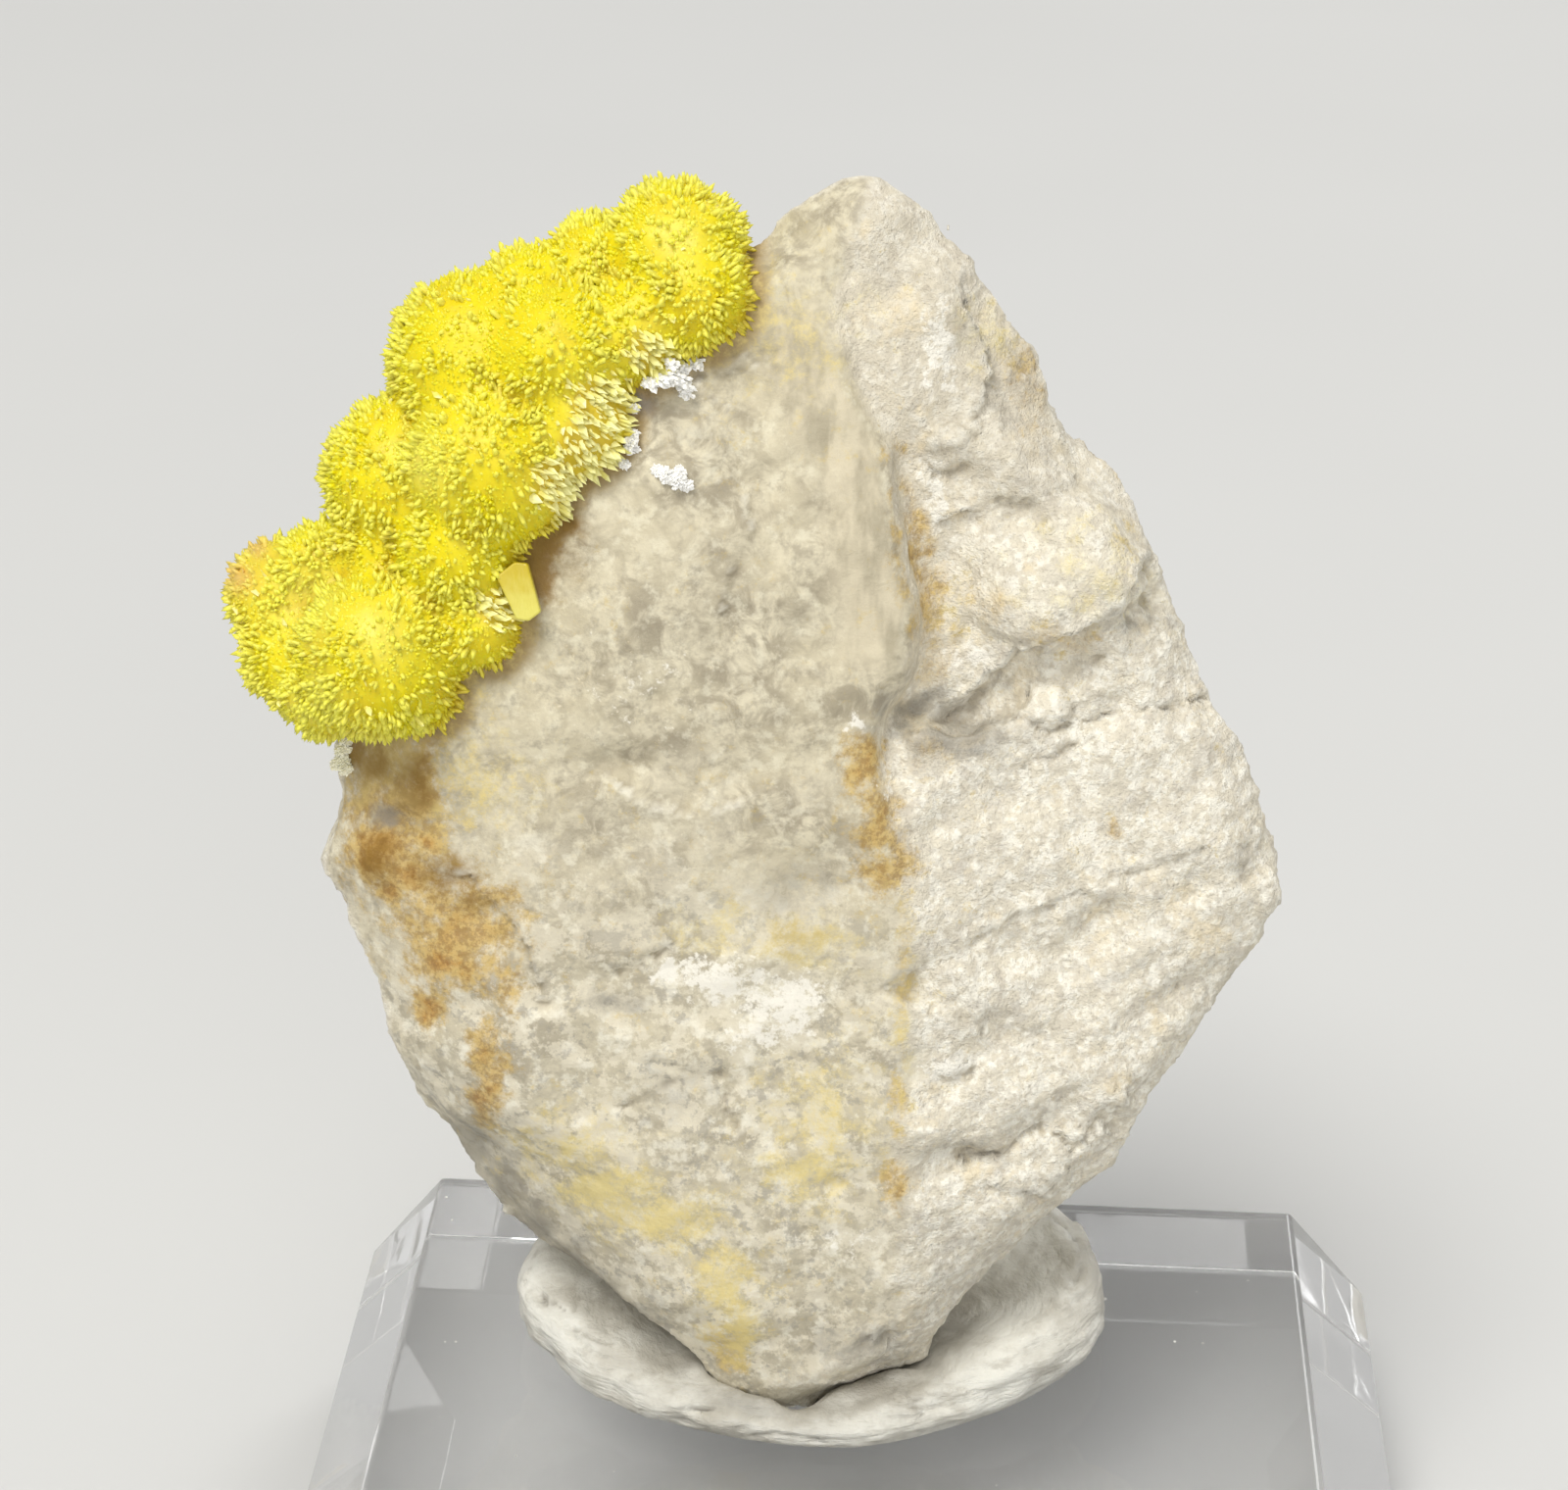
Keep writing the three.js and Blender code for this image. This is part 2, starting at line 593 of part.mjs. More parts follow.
const model = new THREE.Group();
const clear = { color: 0xe8eeee, roughness: 0.05, transparent: true, opacity: 0.35 };
model.add(named('display_block', blockGeometry(), clear));
const puttySolid = toSolid(puttyGeometry()).subtract(placedRock);
model.add(named('putty', toGeometry(puttySolid), { color: 0xeeebe2, roughness: 0.6 }));
model.add(specimen);

export default model;
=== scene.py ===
import math

import bmesh
import bpy
import numpy as np
from mathutils import Matrix, Vector
from mathutils.bvhtree import BVHTree


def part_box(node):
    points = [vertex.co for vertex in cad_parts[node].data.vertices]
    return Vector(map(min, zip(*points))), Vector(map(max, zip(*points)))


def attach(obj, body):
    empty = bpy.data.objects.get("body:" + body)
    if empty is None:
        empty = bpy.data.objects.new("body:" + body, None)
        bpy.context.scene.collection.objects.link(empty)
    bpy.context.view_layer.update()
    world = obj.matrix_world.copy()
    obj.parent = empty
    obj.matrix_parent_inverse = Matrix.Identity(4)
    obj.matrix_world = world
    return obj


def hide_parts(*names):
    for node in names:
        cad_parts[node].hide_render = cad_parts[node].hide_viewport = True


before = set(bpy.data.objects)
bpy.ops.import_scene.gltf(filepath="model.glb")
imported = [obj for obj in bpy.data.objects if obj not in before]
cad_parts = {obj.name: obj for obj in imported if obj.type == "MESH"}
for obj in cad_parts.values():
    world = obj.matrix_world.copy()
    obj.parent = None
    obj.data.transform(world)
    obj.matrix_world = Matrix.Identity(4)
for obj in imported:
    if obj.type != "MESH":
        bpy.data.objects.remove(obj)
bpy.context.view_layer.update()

# Shapes are worked out in millimetres and written to Blender in metres
MM = 0.001

# The camera, in millimetres and degrees: pitch is down, yaw is to the left, roll is clockwise
camera_place = (2.48, -69.49, 70.78)
camera_pitch = 28.95
camera_yaw = 3.46
camera_roll = 0.32
camera_lens = 76.5
camera_sensor = 36

# The rock's own frame: +X across the broad face, +Y into the rock, +Z up the face
rock_tip = np.array((-2.1, 2.0, 10.6))
rock_lean = 12
rock_turn = 3.46
# The face's places were measured along sight lines from this point of the rock's frame
eye_across = 0.3
eye_away = 82.6
eye_up = 44

rock_voxel = 0.157
putty_voxel = 0.14
crust_voxel = 0.128
# How long the crust's lumps are melted together, and what they lose by it
melt_rounds = 11
melt_loss = 0.035
# How much of the valleys between lumps is filled, and how wide a valley counts, in blurring rounds
valley_fill = 0.3
valley_rounds = 70

# The ridge between the smooth left panel and the granular right one, as (across, up)
ridge = (
    (-0.1, -0.5), (3.4, 2.3), (3.5, 6.7), (3.3, 9.5), (3.5, 12.9), (3.0, 15.1), (2.5, 19.3),
    (3.3, 20.6), (3.5, 22.5), (3.1, 24.0), (2.8, 26.8), (1.9, 28.1), (1.2, 29.8), (2.1, 33.5),
)

# Cracks on the face: path as (across, up), half width and depth
cracks = (
    {"path": ((-2.6, 28.1), (-1.9, 28.4), (-1.1, 28.5), (-0.6, 28.8), (0.1, 29.1)), "half": 0.1, "deep": 0.16},
    {"path": ((-4.1, 12.3), (-3.6, 12.7), (-3.1, 13.0), (-2.7, 13.2)), "half": 0.1, "deep": 0.2},
    {"path": ((7.8, 19.5), (8.6, 19.6), (9.4, 19.9), (10.0, 19.8), (10.7, 20.1), (11.4, 20.3)),
     "half": 0.06, "deep": 0.16},
    {"path": ((6.3, 19.7), (6.7, 19.3), (7.1, 19.2), (7.5, 19.4), (7.8, 19.8)), "half": 0.1, "deep": 0.2},
    {"path": ((6.5, 18.3), (7.2, 18.5), (7.8, 18.7), (8.3, 19.0)), "half": 0.07, "deep": 0.12},
    {"path": ((3.7, 26.2), (4.2, 25.9), (4.5, 25.9), (4.9, 26.2)), "half": 0.1, "deep": 0.22},
    {"path": ((5.2, 7.0), (6.4, 7.3), (7.4, 8.0), (8.1, 7.4), (8.6, 7.9)), "half": 0.12, "deep": 0.22},
    {"path": ((-1.5, 9.6), (-1.1, 9.1), (-1.3, 8.5), (-0.9, 8.0)), "half": 0.12, "deep": 0.18},
    {"path": ((-4.0, 8.7), (-3.3, 8.9), (-2.6, 9.3)), "half": 0.1, "deep": 0.14},
)

# Ledges: the face drops on one side of the path (1 is its left), and comes back over the reach
ledges = (
    {"path": ((-2.4, 28.6), (-1.7, 28.2), (-1.0, 27.8), (-1.2, 27.1), (-1.7, 26.3), (-1.3, 25.7),
              (-0.8, 25.4), (-0.6, 24.7), (-1.0, 23.8), (-1.3, 22.6)), "side": 1, "drop": 0.16, "reach": 1.5},
    {"path": ((-4.0, 17.7), (-3.3, 17.2), (-2.5, 16.9), (-1.8, 16.9), (-1.0, 17.3)),
     "side": 1, "drop": 0.22, "reach": 1.3},
    {"path": ((-9.0, 15.6), (-8.0, 15.0), (-7.3, 14.4), (-6.6, 13.6), (-6.3, 12.6)),
     "side": -1, "drop": 0.2, "reach": 1.4},
    {"path": ((-0.4, 28.7), (0.7, 28.1), (1.9, 27.6), (2.2, 26.6), (2.3, 25.2)),
     "side": 1, "drop": 0.14, "reach": 1.2},
    {"path": ((3.6, 12.5), (5.5, 13.6), (7.5, 14.7), (9.3, 15.4), (10.8, 16.0), (12.6, 16.3)),
     "side": -1, "drop": 0.2, "reach": 1.6},
    {"path": ((3.9, 11.6), (5.6, 10.8), (7.6, 10.1), (9.4, 9.1)), "side": 1, "drop": 0.16, "reach": 1.1},
    {"path": ((5.0, 20.3), (6.3, 21.3), (7.8, 21.9), (8.8, 22.6), (9.4, 23.9)),
     "side": -1, "drop": 0.55, "reach": 1.9},
    {"path": ((4.9, 30.0), (5.5, 28.6), (5.1, 27.6), (4.9, 26.7)), "side": 1, "drop": 0.28, "reach": 1.2},
    {"path": ((4.6, 24.9), (5.6, 25.4), (6.6, 25.3), (7.6, 25.9)), "side": -1, "drop": 0.2, "reach": 0.9},
    {"path": ((7.8, 19.6), (9.4, 19.95), (11.4, 20.35)), "side": -1, "drop": 0.12, "reach": 0.8},
    {"path": ((5.0, 6.9), (6.4, 7.3), (7.5, 8.0), (9.0, 8.0)), "side": 1, "drop": 0.25, "reach": 1.0},
    {"path": ((-4.6, 10.7), (-3.4, 10.3), (-2.2, 9.7), (-1.0, 9.8)), "side": -1, "drop": 0.14, "reach": 1.2},
)

# Small round pits: place, radius and depth
pits = (
    (-9.9, 16.7, 0.34, 0.25), (-8.8, 19.1, 0.16, 0.18), (-8.1, 18.8, 0.14, 0.14), (-4.7, 18.0, 0.18, 0.12),
    (-3.0, 20.0, 0.28, 0.16), (-6.1, 11.5, 0.3, 0.2), (-4.3, 11.5, 0.4, 0.14), (-0.2, 31.5, 0.24, 0.22),
    (-2.3, 10.6, 0.3, 0.14), (1.0, 18.5, 0.22, 0.12), (1.6, 6.5, 0.22, 0.18), (3.2, 1.8, 0.26, 0.3),
    (2.6, 1.6, 0.2, 0.2), (5.3, 25.9, 0.16, 0.16), (5.2, 7.2, 0.3, 0.24), (10.8, 12.2, 0.14, 0.14),
    (6.1, 21.2, 0.14, 0.16), (4.4, 14.6, 0.3, 0.12), (5.2, 9.6, 0.24, 0.16), (12.3, 15.2, 0.3, 0.2),
)

# Chips and small humps: place, half sizes across and up, rise
humps = (
    (2.35, 19.45, 0.3, 0.2, 0.3), (7.0, 19.95, 0.62, 0.45, 0.17), (4.3, 22.2, 0.55, 0.75, 0.16),
    (4.3, 27.0, 0.5, 0.35, 0.2), (4.9, 9.9, 0.5, 0.25, 0.16), (7.0, 6.6, 1.2, 0.4, 0.16), (6.9, 23.2, 2.6, 1.6, 0.2),
    (-7.2, 5.6, 0.2, 0.15, 0.14), (12.9, 14.9, 0.35, 0.6, 0.18),
)

# Stains and painted light and shade: mask, place, half sizes across and up, strength. The shade and dusk spots are
# painted shade, some umber spots are painted shadow, and one powder spot is a painted highlight
stains_and_shading = (
    ("ochre", -9.9, 17.0, 1.3, 2.0, 0.62), ("ochre", -10.3, 15.8, 0.8, 0.7, 1.0),
    ("ochre", -9.6, 15.1, 0.8, 0.5, 0.9), ("ochre", -8.9, 16.2, 0.4, 0.35, 0.95),
    ("ochre", -9.1, 17.7, 0.4, 1.0, 0.85), ("ochre", -8.3, 13.9, 1.5, 1.2, 0.66),
    ("ochre", -8.6, 12.8, 0.9, 0.7, 0.85), ("ochre", -7.7, 14.6, 1.1, 0.5, 0.6),
    ("ochre", -9.1, 11.5, 0.35, 0.45, 0.95), ("ochre", -7.6, 9.8, 0.5, 1.3, 0.72),
    ("ochre", -7.7, 8.9, 0.3, 0.6, 0.95), ("ochre", -7.2, 12.3, 0.5, 0.9, 0.6),
    ("ochre", 3.5, 24.0, 0.3, 1.2, 0.6), ("ochre", 3.85, 22.6, 0.35, 1.2, 0.6),
    ("ochre", 4.3, 21.2, 0.6, 0.9, 0.36), ("ochre", 2.35, 18.4, 0.5, 0.7, 0.75),
    ("ochre", 2.6, 16.8, 0.45, 1.0, 0.7), ("ochre", 2.95, 15.4, 0.55, 0.8, 0.65),
    ("ochre", 3.4, 12.3, 0.25, 1.6, 0.36), ("ochre", 3.4, 9.0, 0.2, 1.6, 0.36),
    ("ochre", 3.1, 25.2, 0.25, 1.8, 0.4),
    ("ochre", 3.4, 6.3, 0.35, 0.7, 0.6), ("ochre", 5.3, 22.6, 0.8, 0.6, 0.26),
    ("ochre", 7.6, 21.7, 1.3, 0.35, 0.4), ("ochre", 9.0, 16.4, 0.25, 0.25, 0.5),
    ("ochre", 9.6, 25.1, 0.8, 1.0, 0.4), ("ochre", 6.6, 28.9, 0.8, 1.2, 0.45),
    ("ochre", -1.2, 1.6, 0.4, 0.8, 0.5), ("ochre", 3.9, 18.9, 0.8, 0.5, 0.4),
    # Painted shadow: the six umber spots on this line and the next two are the dark brown shadow by the crust's foot
    # and under the white spray; the other umber spots are brown stains
    ("umber", -6.1, 23.9, 0.6, 0.6, 1.3), ("umber", -5.35, 24.5, 0.45, 0.4, 1.1),
    ("umber", -5.9, 23.2, 0.45, 0.6, 1.3), ("umber", -6.4, 22.5, 0.4, 0.6, 1.1),
    ("umber", -5.3, 23.6, 0.8, 0.8, 0.5), ("umber", -3.5, 27.8, 0.5, 0.3, 1.1),
    # Painted shade: the dusk spots darken the strip along the lower left side, which faces down, away from the light
    ("dusk", -8.1, 7.5, 0.5, 0.9, 0.9), ("dusk", -7.3, 6.3, 0.55, 0.8, 1.0),
    ("dusk", -6.4, 5.1, 0.55, 0.8, 1.0), ("dusk", -5.5, 4.0, 0.55, 0.8, 1.0),
    ("dusk", -4.6, 3.1, 0.55, 0.7, 1.0), ("dusk", -3.6, 2.2, 0.55, 0.6, 0.9),
    ("umber", -10.4, 18.3, 0.9, 0.9, 0.85), ("umber", -9.3, 17.9, 0.6, 0.8, 0.85),
    ("umber", -11.0, 18.6, 0.5, 0.8, 0.9), ("umber", -10.3, 15.6, 0.6, 0.6, 0.8),
    ("umber", -8.7, 15.2, 1.0, 0.6, 0.75), ("lemon", 3.4, 11.0, 0.5, 3.2, 0.45),
    ("umber", -9.9, 17.1, 1.0, 1.2, 0.5), ("umber", 0.7, 13.4, 1.0, 0.6, 0.4),
    ("umber", -7.9, 14.4, 0.8, 0.4, 0.55),
    ("lemon", -10.3, 18.4, 0.9, 1.0, 0.9), ("lemon", -1.5, 13.7, 1.0, 0.8, 0.5),
    ("lemon", 0.9, 13.3, 1.1, 0.7, 0.65), ("lemon", -4.4, 6.2, 1.2, 0.8, 0.9),
    ("lemon", -3.0, 5.4, 1.3, 0.8, 0.85), ("lemon", -1.4, 3.6, 0.8, 1.1, 0.8),
    ("lemon", -1.0, 2.2, 0.7, 1.0, 0.8), ("lemon", 0.9, 6.7, 1.2, 0.9, 0.75),
    ("lemon", 1.4, 8.6, 1.8, 1.6, 0.5), ("lemon", -5.4, 7.4, 1.4, 1.0, 0.6),
    ("lemon", -6.3, 24.3, 0.6, 1.4, 0.9), ("lemon", -6.9, 22.2, 0.7, 1.0, 0.9),
    ("lemon", -8.4, 20.8, 1.0, 1.0, 0.7), ("lemon", 0.2, 29.6, 2.0, 1.6, 0.4),
    ("lemon", 8.0, 23.4, 2.0, 1.4, 0.45), ("lemon", 5.4, 29.6, 0.9, 0.9, 0.45),
    ("lemon", 4.3, 22.2, 0.9, 1.0, 0.35), ("lemon", -8.0, 17.8, 1.6, 1.4, 0.5),
    ("powder", 0.3, 11.6, 1.2, 0.9, 0.85), ("powder", -1.3, 12.3, 1.2, 0.7, 0.85),
    ("powder", -2.8, 12.6, 0.7, 0.4, 0.8), ("powder", -0.5, 10.7, 1.0, 0.7, 0.65),
    ("powder", 4.9, 9.9, 0.9, 0.25, 0.9), ("powder", 2.35, 19.45, 0.3, 0.22, 1.0),
    ("powder", 4.1, 29.3, 0.5, 1.2, 0.8), ("powder", 4.0, 25.4, 0.4, 1.0, 0.75),
    # The powder spot at 6.6, 23.3 is a painted highlight on the lit bulge; the other powder spots are white powder
    ("powder", 5.0, 21.2, 0.9, 0.3, 0.7), ("powder", 6.6, 23.3, 1.5, 0.9, 0.5), 
    ("powder", -3.5, 20.4, 2.0, 1.4, 0.38),
    ("powder", 2.9, 17.4, 0.3, 0.4, 0.6), ("powder", 1.8, 4.8, 1.6, 0.7, 0.5),
    ("shade", 5.6, 28.8, 1.6, 1.8, 0.55), ("shade", -9.95, 16.75, 0.45, 0.4, 1.1),
    ("shade", 2.3, 31.5, 1.5, 1.6, 0.4), ("shade", -3.5, 27.75, 0.55, 0.4, 1.2),
    ("shade", -4.2, 11.6, 0.8, 0.55, 0.85), ("shade", 4.6, 19.2, 1.9, 0.7, 1.1),
    ("shade", 3.6, 19.9, 1.2, 0.35, 1.1), ("shade", 5.6, 7.4, 1.0, 0.45, 0.75),
    ("shade", 12.2, 15.6, 0.6, 0.7, 0.6), ("shade", 2.6, 1.6, 1.6, 0.6, 0.9),
    ("shade", -2.8, 9.0, 1.3, 1.2, 0.55), ("shade", 5.7, 27.9, 0.9, 1.0, 0.6),
    ("shade", 0.6, 14.8, 1.5, 1.1, 0.6), ("shade", 9.3, 22.2, 1.5, 0.4, 0.7),
    ("shade", 6.0, 25.6, 1.6, 0.5, 0.55), ("shade", -1.9, 27.2, 0.9, 1.4, 0.45),
    ("shade", -1.3, 3.2, 3.0, 1.0, 0.3), ("shade", 1.2, 17.6, 1.2, 1.0, 0.4),
)

stain_and_shading_names = ("ochre", "umber", "dusk", "lemon", "powder", "shade")

# Lumps of the crust: place on the face, how far the middle stands out of it, radius
face_lumps = (
    (-2.45, 31.55, -0.4, 1.72), (-2.05, 30.5, 0.6, 1.42), (-3.5, 29.6, 0.5, 1.4), (-4.4, 30.9, -0.9, 1.5),
    (-7.4, 28.75, -0.5, 2.22), (-5.4, 28.9, 0.6, 1.85), (-5.1, 27.3, 1.0, 1.45), (-9.5, 25.9, -0.5, 1.88),
    (-7.1, 26.2, 0.9, 2.15), (-9.9, 24.0, -0.3, 1.35), (-8.0, 24.0, 1.0, 1.6), (-12.5, 22.7, -1.0, 1.45),
    (-12.1, 21.3, -0.5, 1.6), (-10.1, 21.2, 1.2, 2.05), (-11.4, 20.6, 0.4, 1.5), (-7.6, 22.0, 1.5, 1.1),
    (-11.6, 23.5, -0.4, 1.05), (-8.95, 20.1, 1.2, 0.85), (-6.15, 30.15, -0.6, 1.45),
)
# Those over the rock's edge go on round it as a smaller lump behind
rim_back = 2.3
rim_share = 0.9
bud_count = 5
rim_least_out = -0.3
rim_most_left = -12.4

# The share of the points of the crust's skin that carry a crystal, and half a crystal's width
crystal_share = 0.93
crystal_half = 0.072
crystal_length = 0.42
# How far the crystals' tips stand out of the mass under them
crystal_rise = 0.015
tall_share = 0.34
blade_share = 0.55
# Where the blades point in the rock's frame
blade_aim = np.array((0.8, -0.3, -0.45))

# Patches of larger, paler crystals: place and reach, as (across, up, reach)
blade_patches = (
    (-4.4, 27.6, 0.85), (-4.7, 26.7, 0.9), (-5.3, 25.7, 0.85), (-3.2, 29.0, 0.55), (-7.2, 22.4, 0.5),
)
# Where the crust is pale, and where it is rusty, in the same form
pale_patches = (
    (-10.1, 21.8, 0.9), (-8.8, 26.2, 0.8), (-2.4, 31.9, 0.7), (-12.2, 22.6, 1.1), (-11.9, 19.8, 0.7),
)
rusty_patches = ((-13.7, 23.2, 0.45), (-13.2, 24.0, 0.35))

# Clumps of small white crystals: place, how far the middle stands out of the rock, radius
white_clumps = {
    "white_spray_upper": (
        (-3.3, 28.4, 0.1, 0.15), (-3.05, 28.5, 0.12, 0.17), (-2.8, 28.6, 0.12, 0.18),
        (-2.6, 28.45, 0.1, 0.19), (-2.42, 28.3, 0.08, 0.16), (-2.35, 28.05, 0.04, 0.12),
        (-2.75, 28.85, 0.06, 0.13), (-2.15, 28.85, 0.04, 0.15), (-2.5, 28.7, 0.06, 0.13),
    ),
    "white_spray_middle": (
        (-3.72, 27.65, 0.1, 0.11), (-3.8, 26.85, 0.08, 0.13), (-3.6, 27.0, 0.08, 0.1),
        (-3.75, 26.6, 0.05, 0.11), (-3.55, 26.6, 0.05, 0.08), (-3.88, 26.2, 0.03, 0.11),
    ),
    "white_spray_lower": (
        (-3.0, 26.05, 0.0, 0.13), (-2.8, 25.95, 0.02, 0.17), (-2.55, 25.85, 0.02, 0.19),
        (-2.3, 25.7, 0.0, 0.14), (-2.45, 26.05, 0.0, 0.12),
    ),
}
# How much the crystals of each lean, where to in the rock's frame, and half their width
spray_growth = {
    "white_spray_upper": (1.5, (0.85, -0.5, -0.3), 0.075),
    "white_spray_middle": (1.0, (0.8, -0.5, -0.2), 0.06),
    "white_spray_lower": (0.6, (0.75, -0.6, -0.5), 0.045),
    "cream_edge_spray": (1.0, (-0.8, -0.3, -0.4), 0.045),
}
clump_swell = 1.25
dusky_patches = (
    (-12.7, 22.8, 1.3), (-12.5, 20.7, 0.8), (-10.7, 19.6, 0.7), (-6.3, 27.9, 0.7), (-6.8, 26.0, 1.3),
    (-5.7, 24.4, 0.9), (-7.9, 22.9, 0.9), (-7.2, 21.8, 0.8), (-2.3, 29.9, 0.8), (-1.6, 30.4, 0.7),
    (-3.6, 28.9, 0.6), (-8.6, 20.2, 0.5),
)
smooth_patches = ((-7.5, 29.5, 1.6), (-5.8, 29.9, 1.2), (-9.9, 21.4, 0.9), (-8.9, 25.6, 0.7))
white_nodes = {"white_spray_upper": "white_tuft_upper", "white_spray_lower": "white_tuft_lower"}
edge_clumps = (
    (-10.95, 18.95, 0.0, 0.14), (-11.05, 18.7, 0.0, 0.16), (-11.1, 18.35, 0.0, 0.18), (-11.0, 18.15, 0.0, 0.14)
)

dust_count = 90


def smoothstep(low, high, value):
    share = np.clip((value - low) / (high - low), 0, 1)
    return share * share * (3 - 2 * share)


def srgb(red, green, blue):
    """A colour of 0 to 255 a channel as the linear colour that a shader takes."""
    shares = [channel / 255 for channel in (red, green, blue)]
    linear = [s / 12.92 if s <= 0.04045 else ((s + 0.055) / 1.055) ** 2.4 for s in shares]
    return (*linear, 1)


class Noise:
    """Smooth noise in space that is the same on each run, from about -1 to 1."""

    def __init__(self, seed):
        draw = np.random.default_rng(seed)
        self.order = np.tile(draw.permutation(256), 2)
        slopes = draw.normal(size=(256, 3))
        self.slopes = slopes / np.linalg.norm(slopes, axis=1, keepdims=True)
        self.middles = draw.random((256, 3))
        self.levels = draw.uniform(-1, 1, 256)

    def keys(self, corner):
        x, y, z = (corner & 255).T
        return self.order[self.order[self.order[x] + y] + z]

    def at(self, points, size):
        """Noise whose bumps are about size millimetres across."""
        spots = points / size + 100
        corner = np.floor(spots).astype(int)
        part = spots - corner
        ease = part**3 * (part * (part * 6 - 15) + 10)
        total = np.zeros(len(points))
        for step in np.ndindex(2, 2, 2):
            slope = self.slopes[self.keys(corner + step)]
            weight = np.prod(np.where(step, ease, 1 - ease), axis=1)
            total += weight * np.sum((part - step) * slope, axis=1)
        return 1.6 * total

    def layers(self, points, size, count, share=0.5):
        """Noise with finer and weaker layers added."""
        total = self.at(points, size)
        for layer in range(1, count):
            total = total + share**layer * self.at(points + 17.3 * layer, size / 2**layer)
        return total

    def scars(self, points, size):
        """Shallow dishes of about a size that meet in ridges, as where flakes have broken off."""
        spots = points / size + 100
        corner = np.floor(spots).astype(int)
        height = np.full(len(points), np.inf)
        for step in np.ndindex(3, 3, 3):
            cell = corner + step - 1
            key = self.keys(cell)
            offset = spots - (cell + self.middles[key])
            dish = 0.6 * np.sum(offset**2, axis=1) + 0.5 * np.sum(self.slopes[key] * offset, axis=1)
            height = np.minimum(height, dish + 0.3 * self.levels[key])
        return height

    def bent(self, points, size, reach):
        """Points moved about by noise, so that what is drawn through them has ragged lines."""
        moves = [self.layers(points + shift, size, 3, 0.6) for shift in (0, 40, 80)]
        return points + reach * np.stack(moves, axis=1)


own_axes = np.array(
    Matrix.Rotation(math.radians(rock_turn), 3, "Z") @ Matrix.Rotation(math.radians(-rock_lean), 3, "X")
)
towards_viewer = -own_axes[:, 1]


def to_rock(points):
    """Points of the part's frame in the rock's own frame."""
    return (points - rock_tip) @ own_axes


def to_part(points):
    return points @ own_axes.T + rock_tip


def seen_place(points):
    """Where points are seen on the plane of the face, as (across, up)."""
    local = to_rock(points)
    share = -local[:, 1] / eye_away
    return (local[:, 0] - share * eye_across) / (1 - share), (local[:, 2] - share * eye_up) / (1 - share)


def face_point(across, up, out):
    """The point of the part's frame that is seen at a place and stands out of the face's plane."""
    share = out / eye_away
    local = np.array((across + share * (eye_across - across), -out, up + share * (eye_up - up)))
    return to_part(local)


def path_distance(across, up, path):
    """Distance from a path, and the same with a minus sign on its right."""
    best = np.full(len(across), np.inf)
    signed = np.zeros(len(across))
    for (x0, y0), (x1, y1) in zip(path, path[1:]):
        run = np.array((x1 - x0, y1 - y0))
        share = np.clip(((across - x0) * run[0] + (up - y0) * run[1]) / (run @ run), 0, 1)
        gap_x = across - x0 - share * run[0]
        gap_y = up - y0 - share * run[1]
        gap = np.hypot(gap_x, gap_y)
        side = np.sign(run[0] * gap_y - run[1] * gap_x)
        closer = gap < best
        best = np.where(closer, gap, best)
        signed = np.where(closer, gap * side, signed)
    return best, signed


class Skin:
    """A closed skin of quads, in millimetres, that numpy can move and measure."""

    def __init__(self, points, quads):
        self.points = points
        self.quads = quads
        pairs = np.concatenate([quads[:, [k, (k + 1) % 4]] for k in range(4)])
        self.pairs = np.unique(np.sort(pairs, axis=1), axis=0)
        self.degree = np.bincount(self.pairs.ravel(), minlength=len(points))

    def spread(self, values):
        """The mean of each point's neighbours."""
        a, b = self.pairs.T
        count = len(self.points)
        columns = [
            np.bincount(a, column[b], count) + np.bincount(b, column[a], count)
            for column in values.reshape(count, -1).T
        ]
        return (np.stack(columns, axis=1) / self.degree[:, None]).reshape(values.shape)

    def blurred(self, values, rounds, share=0.6):
        for _ in range(rounds):
            values = values + share * (self.spread(values) - values)
        return values

    def normals(self):
        a, b, c, d = (self.points[self.quads[:, k]] for k in range(4))
        flat = np.cross(c - a, d - b)
        total = np.zeros_like(self.points)
        for corner in range(4):
            for axis in range(3):
                total[:, axis] += np.bincount(self.quads[:, corner], flat[:, axis], len(self.points))
        return total / np.linalg.norm(total, axis=1, keepdims=True)

    def push(self, distance):
        self.points = self.points + self.normals() * distance[:, None]

    def sunk(self, rounds):
        """How far each point lies below its surroundings."""
        return np.sum((self.blurred(self.points, rounds) - self.points) * self.normals(), axis=1)


def fill_mesh(name, points, *faces):
    """A mesh of faces given as arrays, one for each number of corners."""
    mesh = bpy.data.meshes.new(name)
    loops = np.concatenate([face.ravel() for face in faces])
    sizes = np.concatenate([np.full(len(face), face.shape[1]) for face in faces])
    mesh.vertices.add(len(points))
    mesh.vertices.foreach_set("co", np.ascontiguousarray(points, dtype=np.float32).ravel())
    mesh.loops.add(len(loops))
    mesh.loops.foreach_set("vertex_index", loops.astype(np.int32))
    mesh.polygons.add(len(sizes))
    mesh.polygons.foreach_set("loop_start", (np.cumsum(sizes) - sizes).astype(np.int32))
    mesh.update(calc_edges=True)
    return mesh


def node_arrays(name):
    """A CAD node's points in millimetres, and its triangles."""
    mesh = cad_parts[name].data
    mesh.calc_loop_triangles()
    points = np.zeros(3 * len(mesh.vertices))
    mesh.vertices.foreach_get("co", points)
    triangles = np.zeros(3 * len(mesh.loop_triangles), dtype=np.int32)
    mesh.loop_triangles.foreach_get("vertices", triangles)
    return points.reshape(-1, 3) / MM, triangles.reshape(-1, 3)


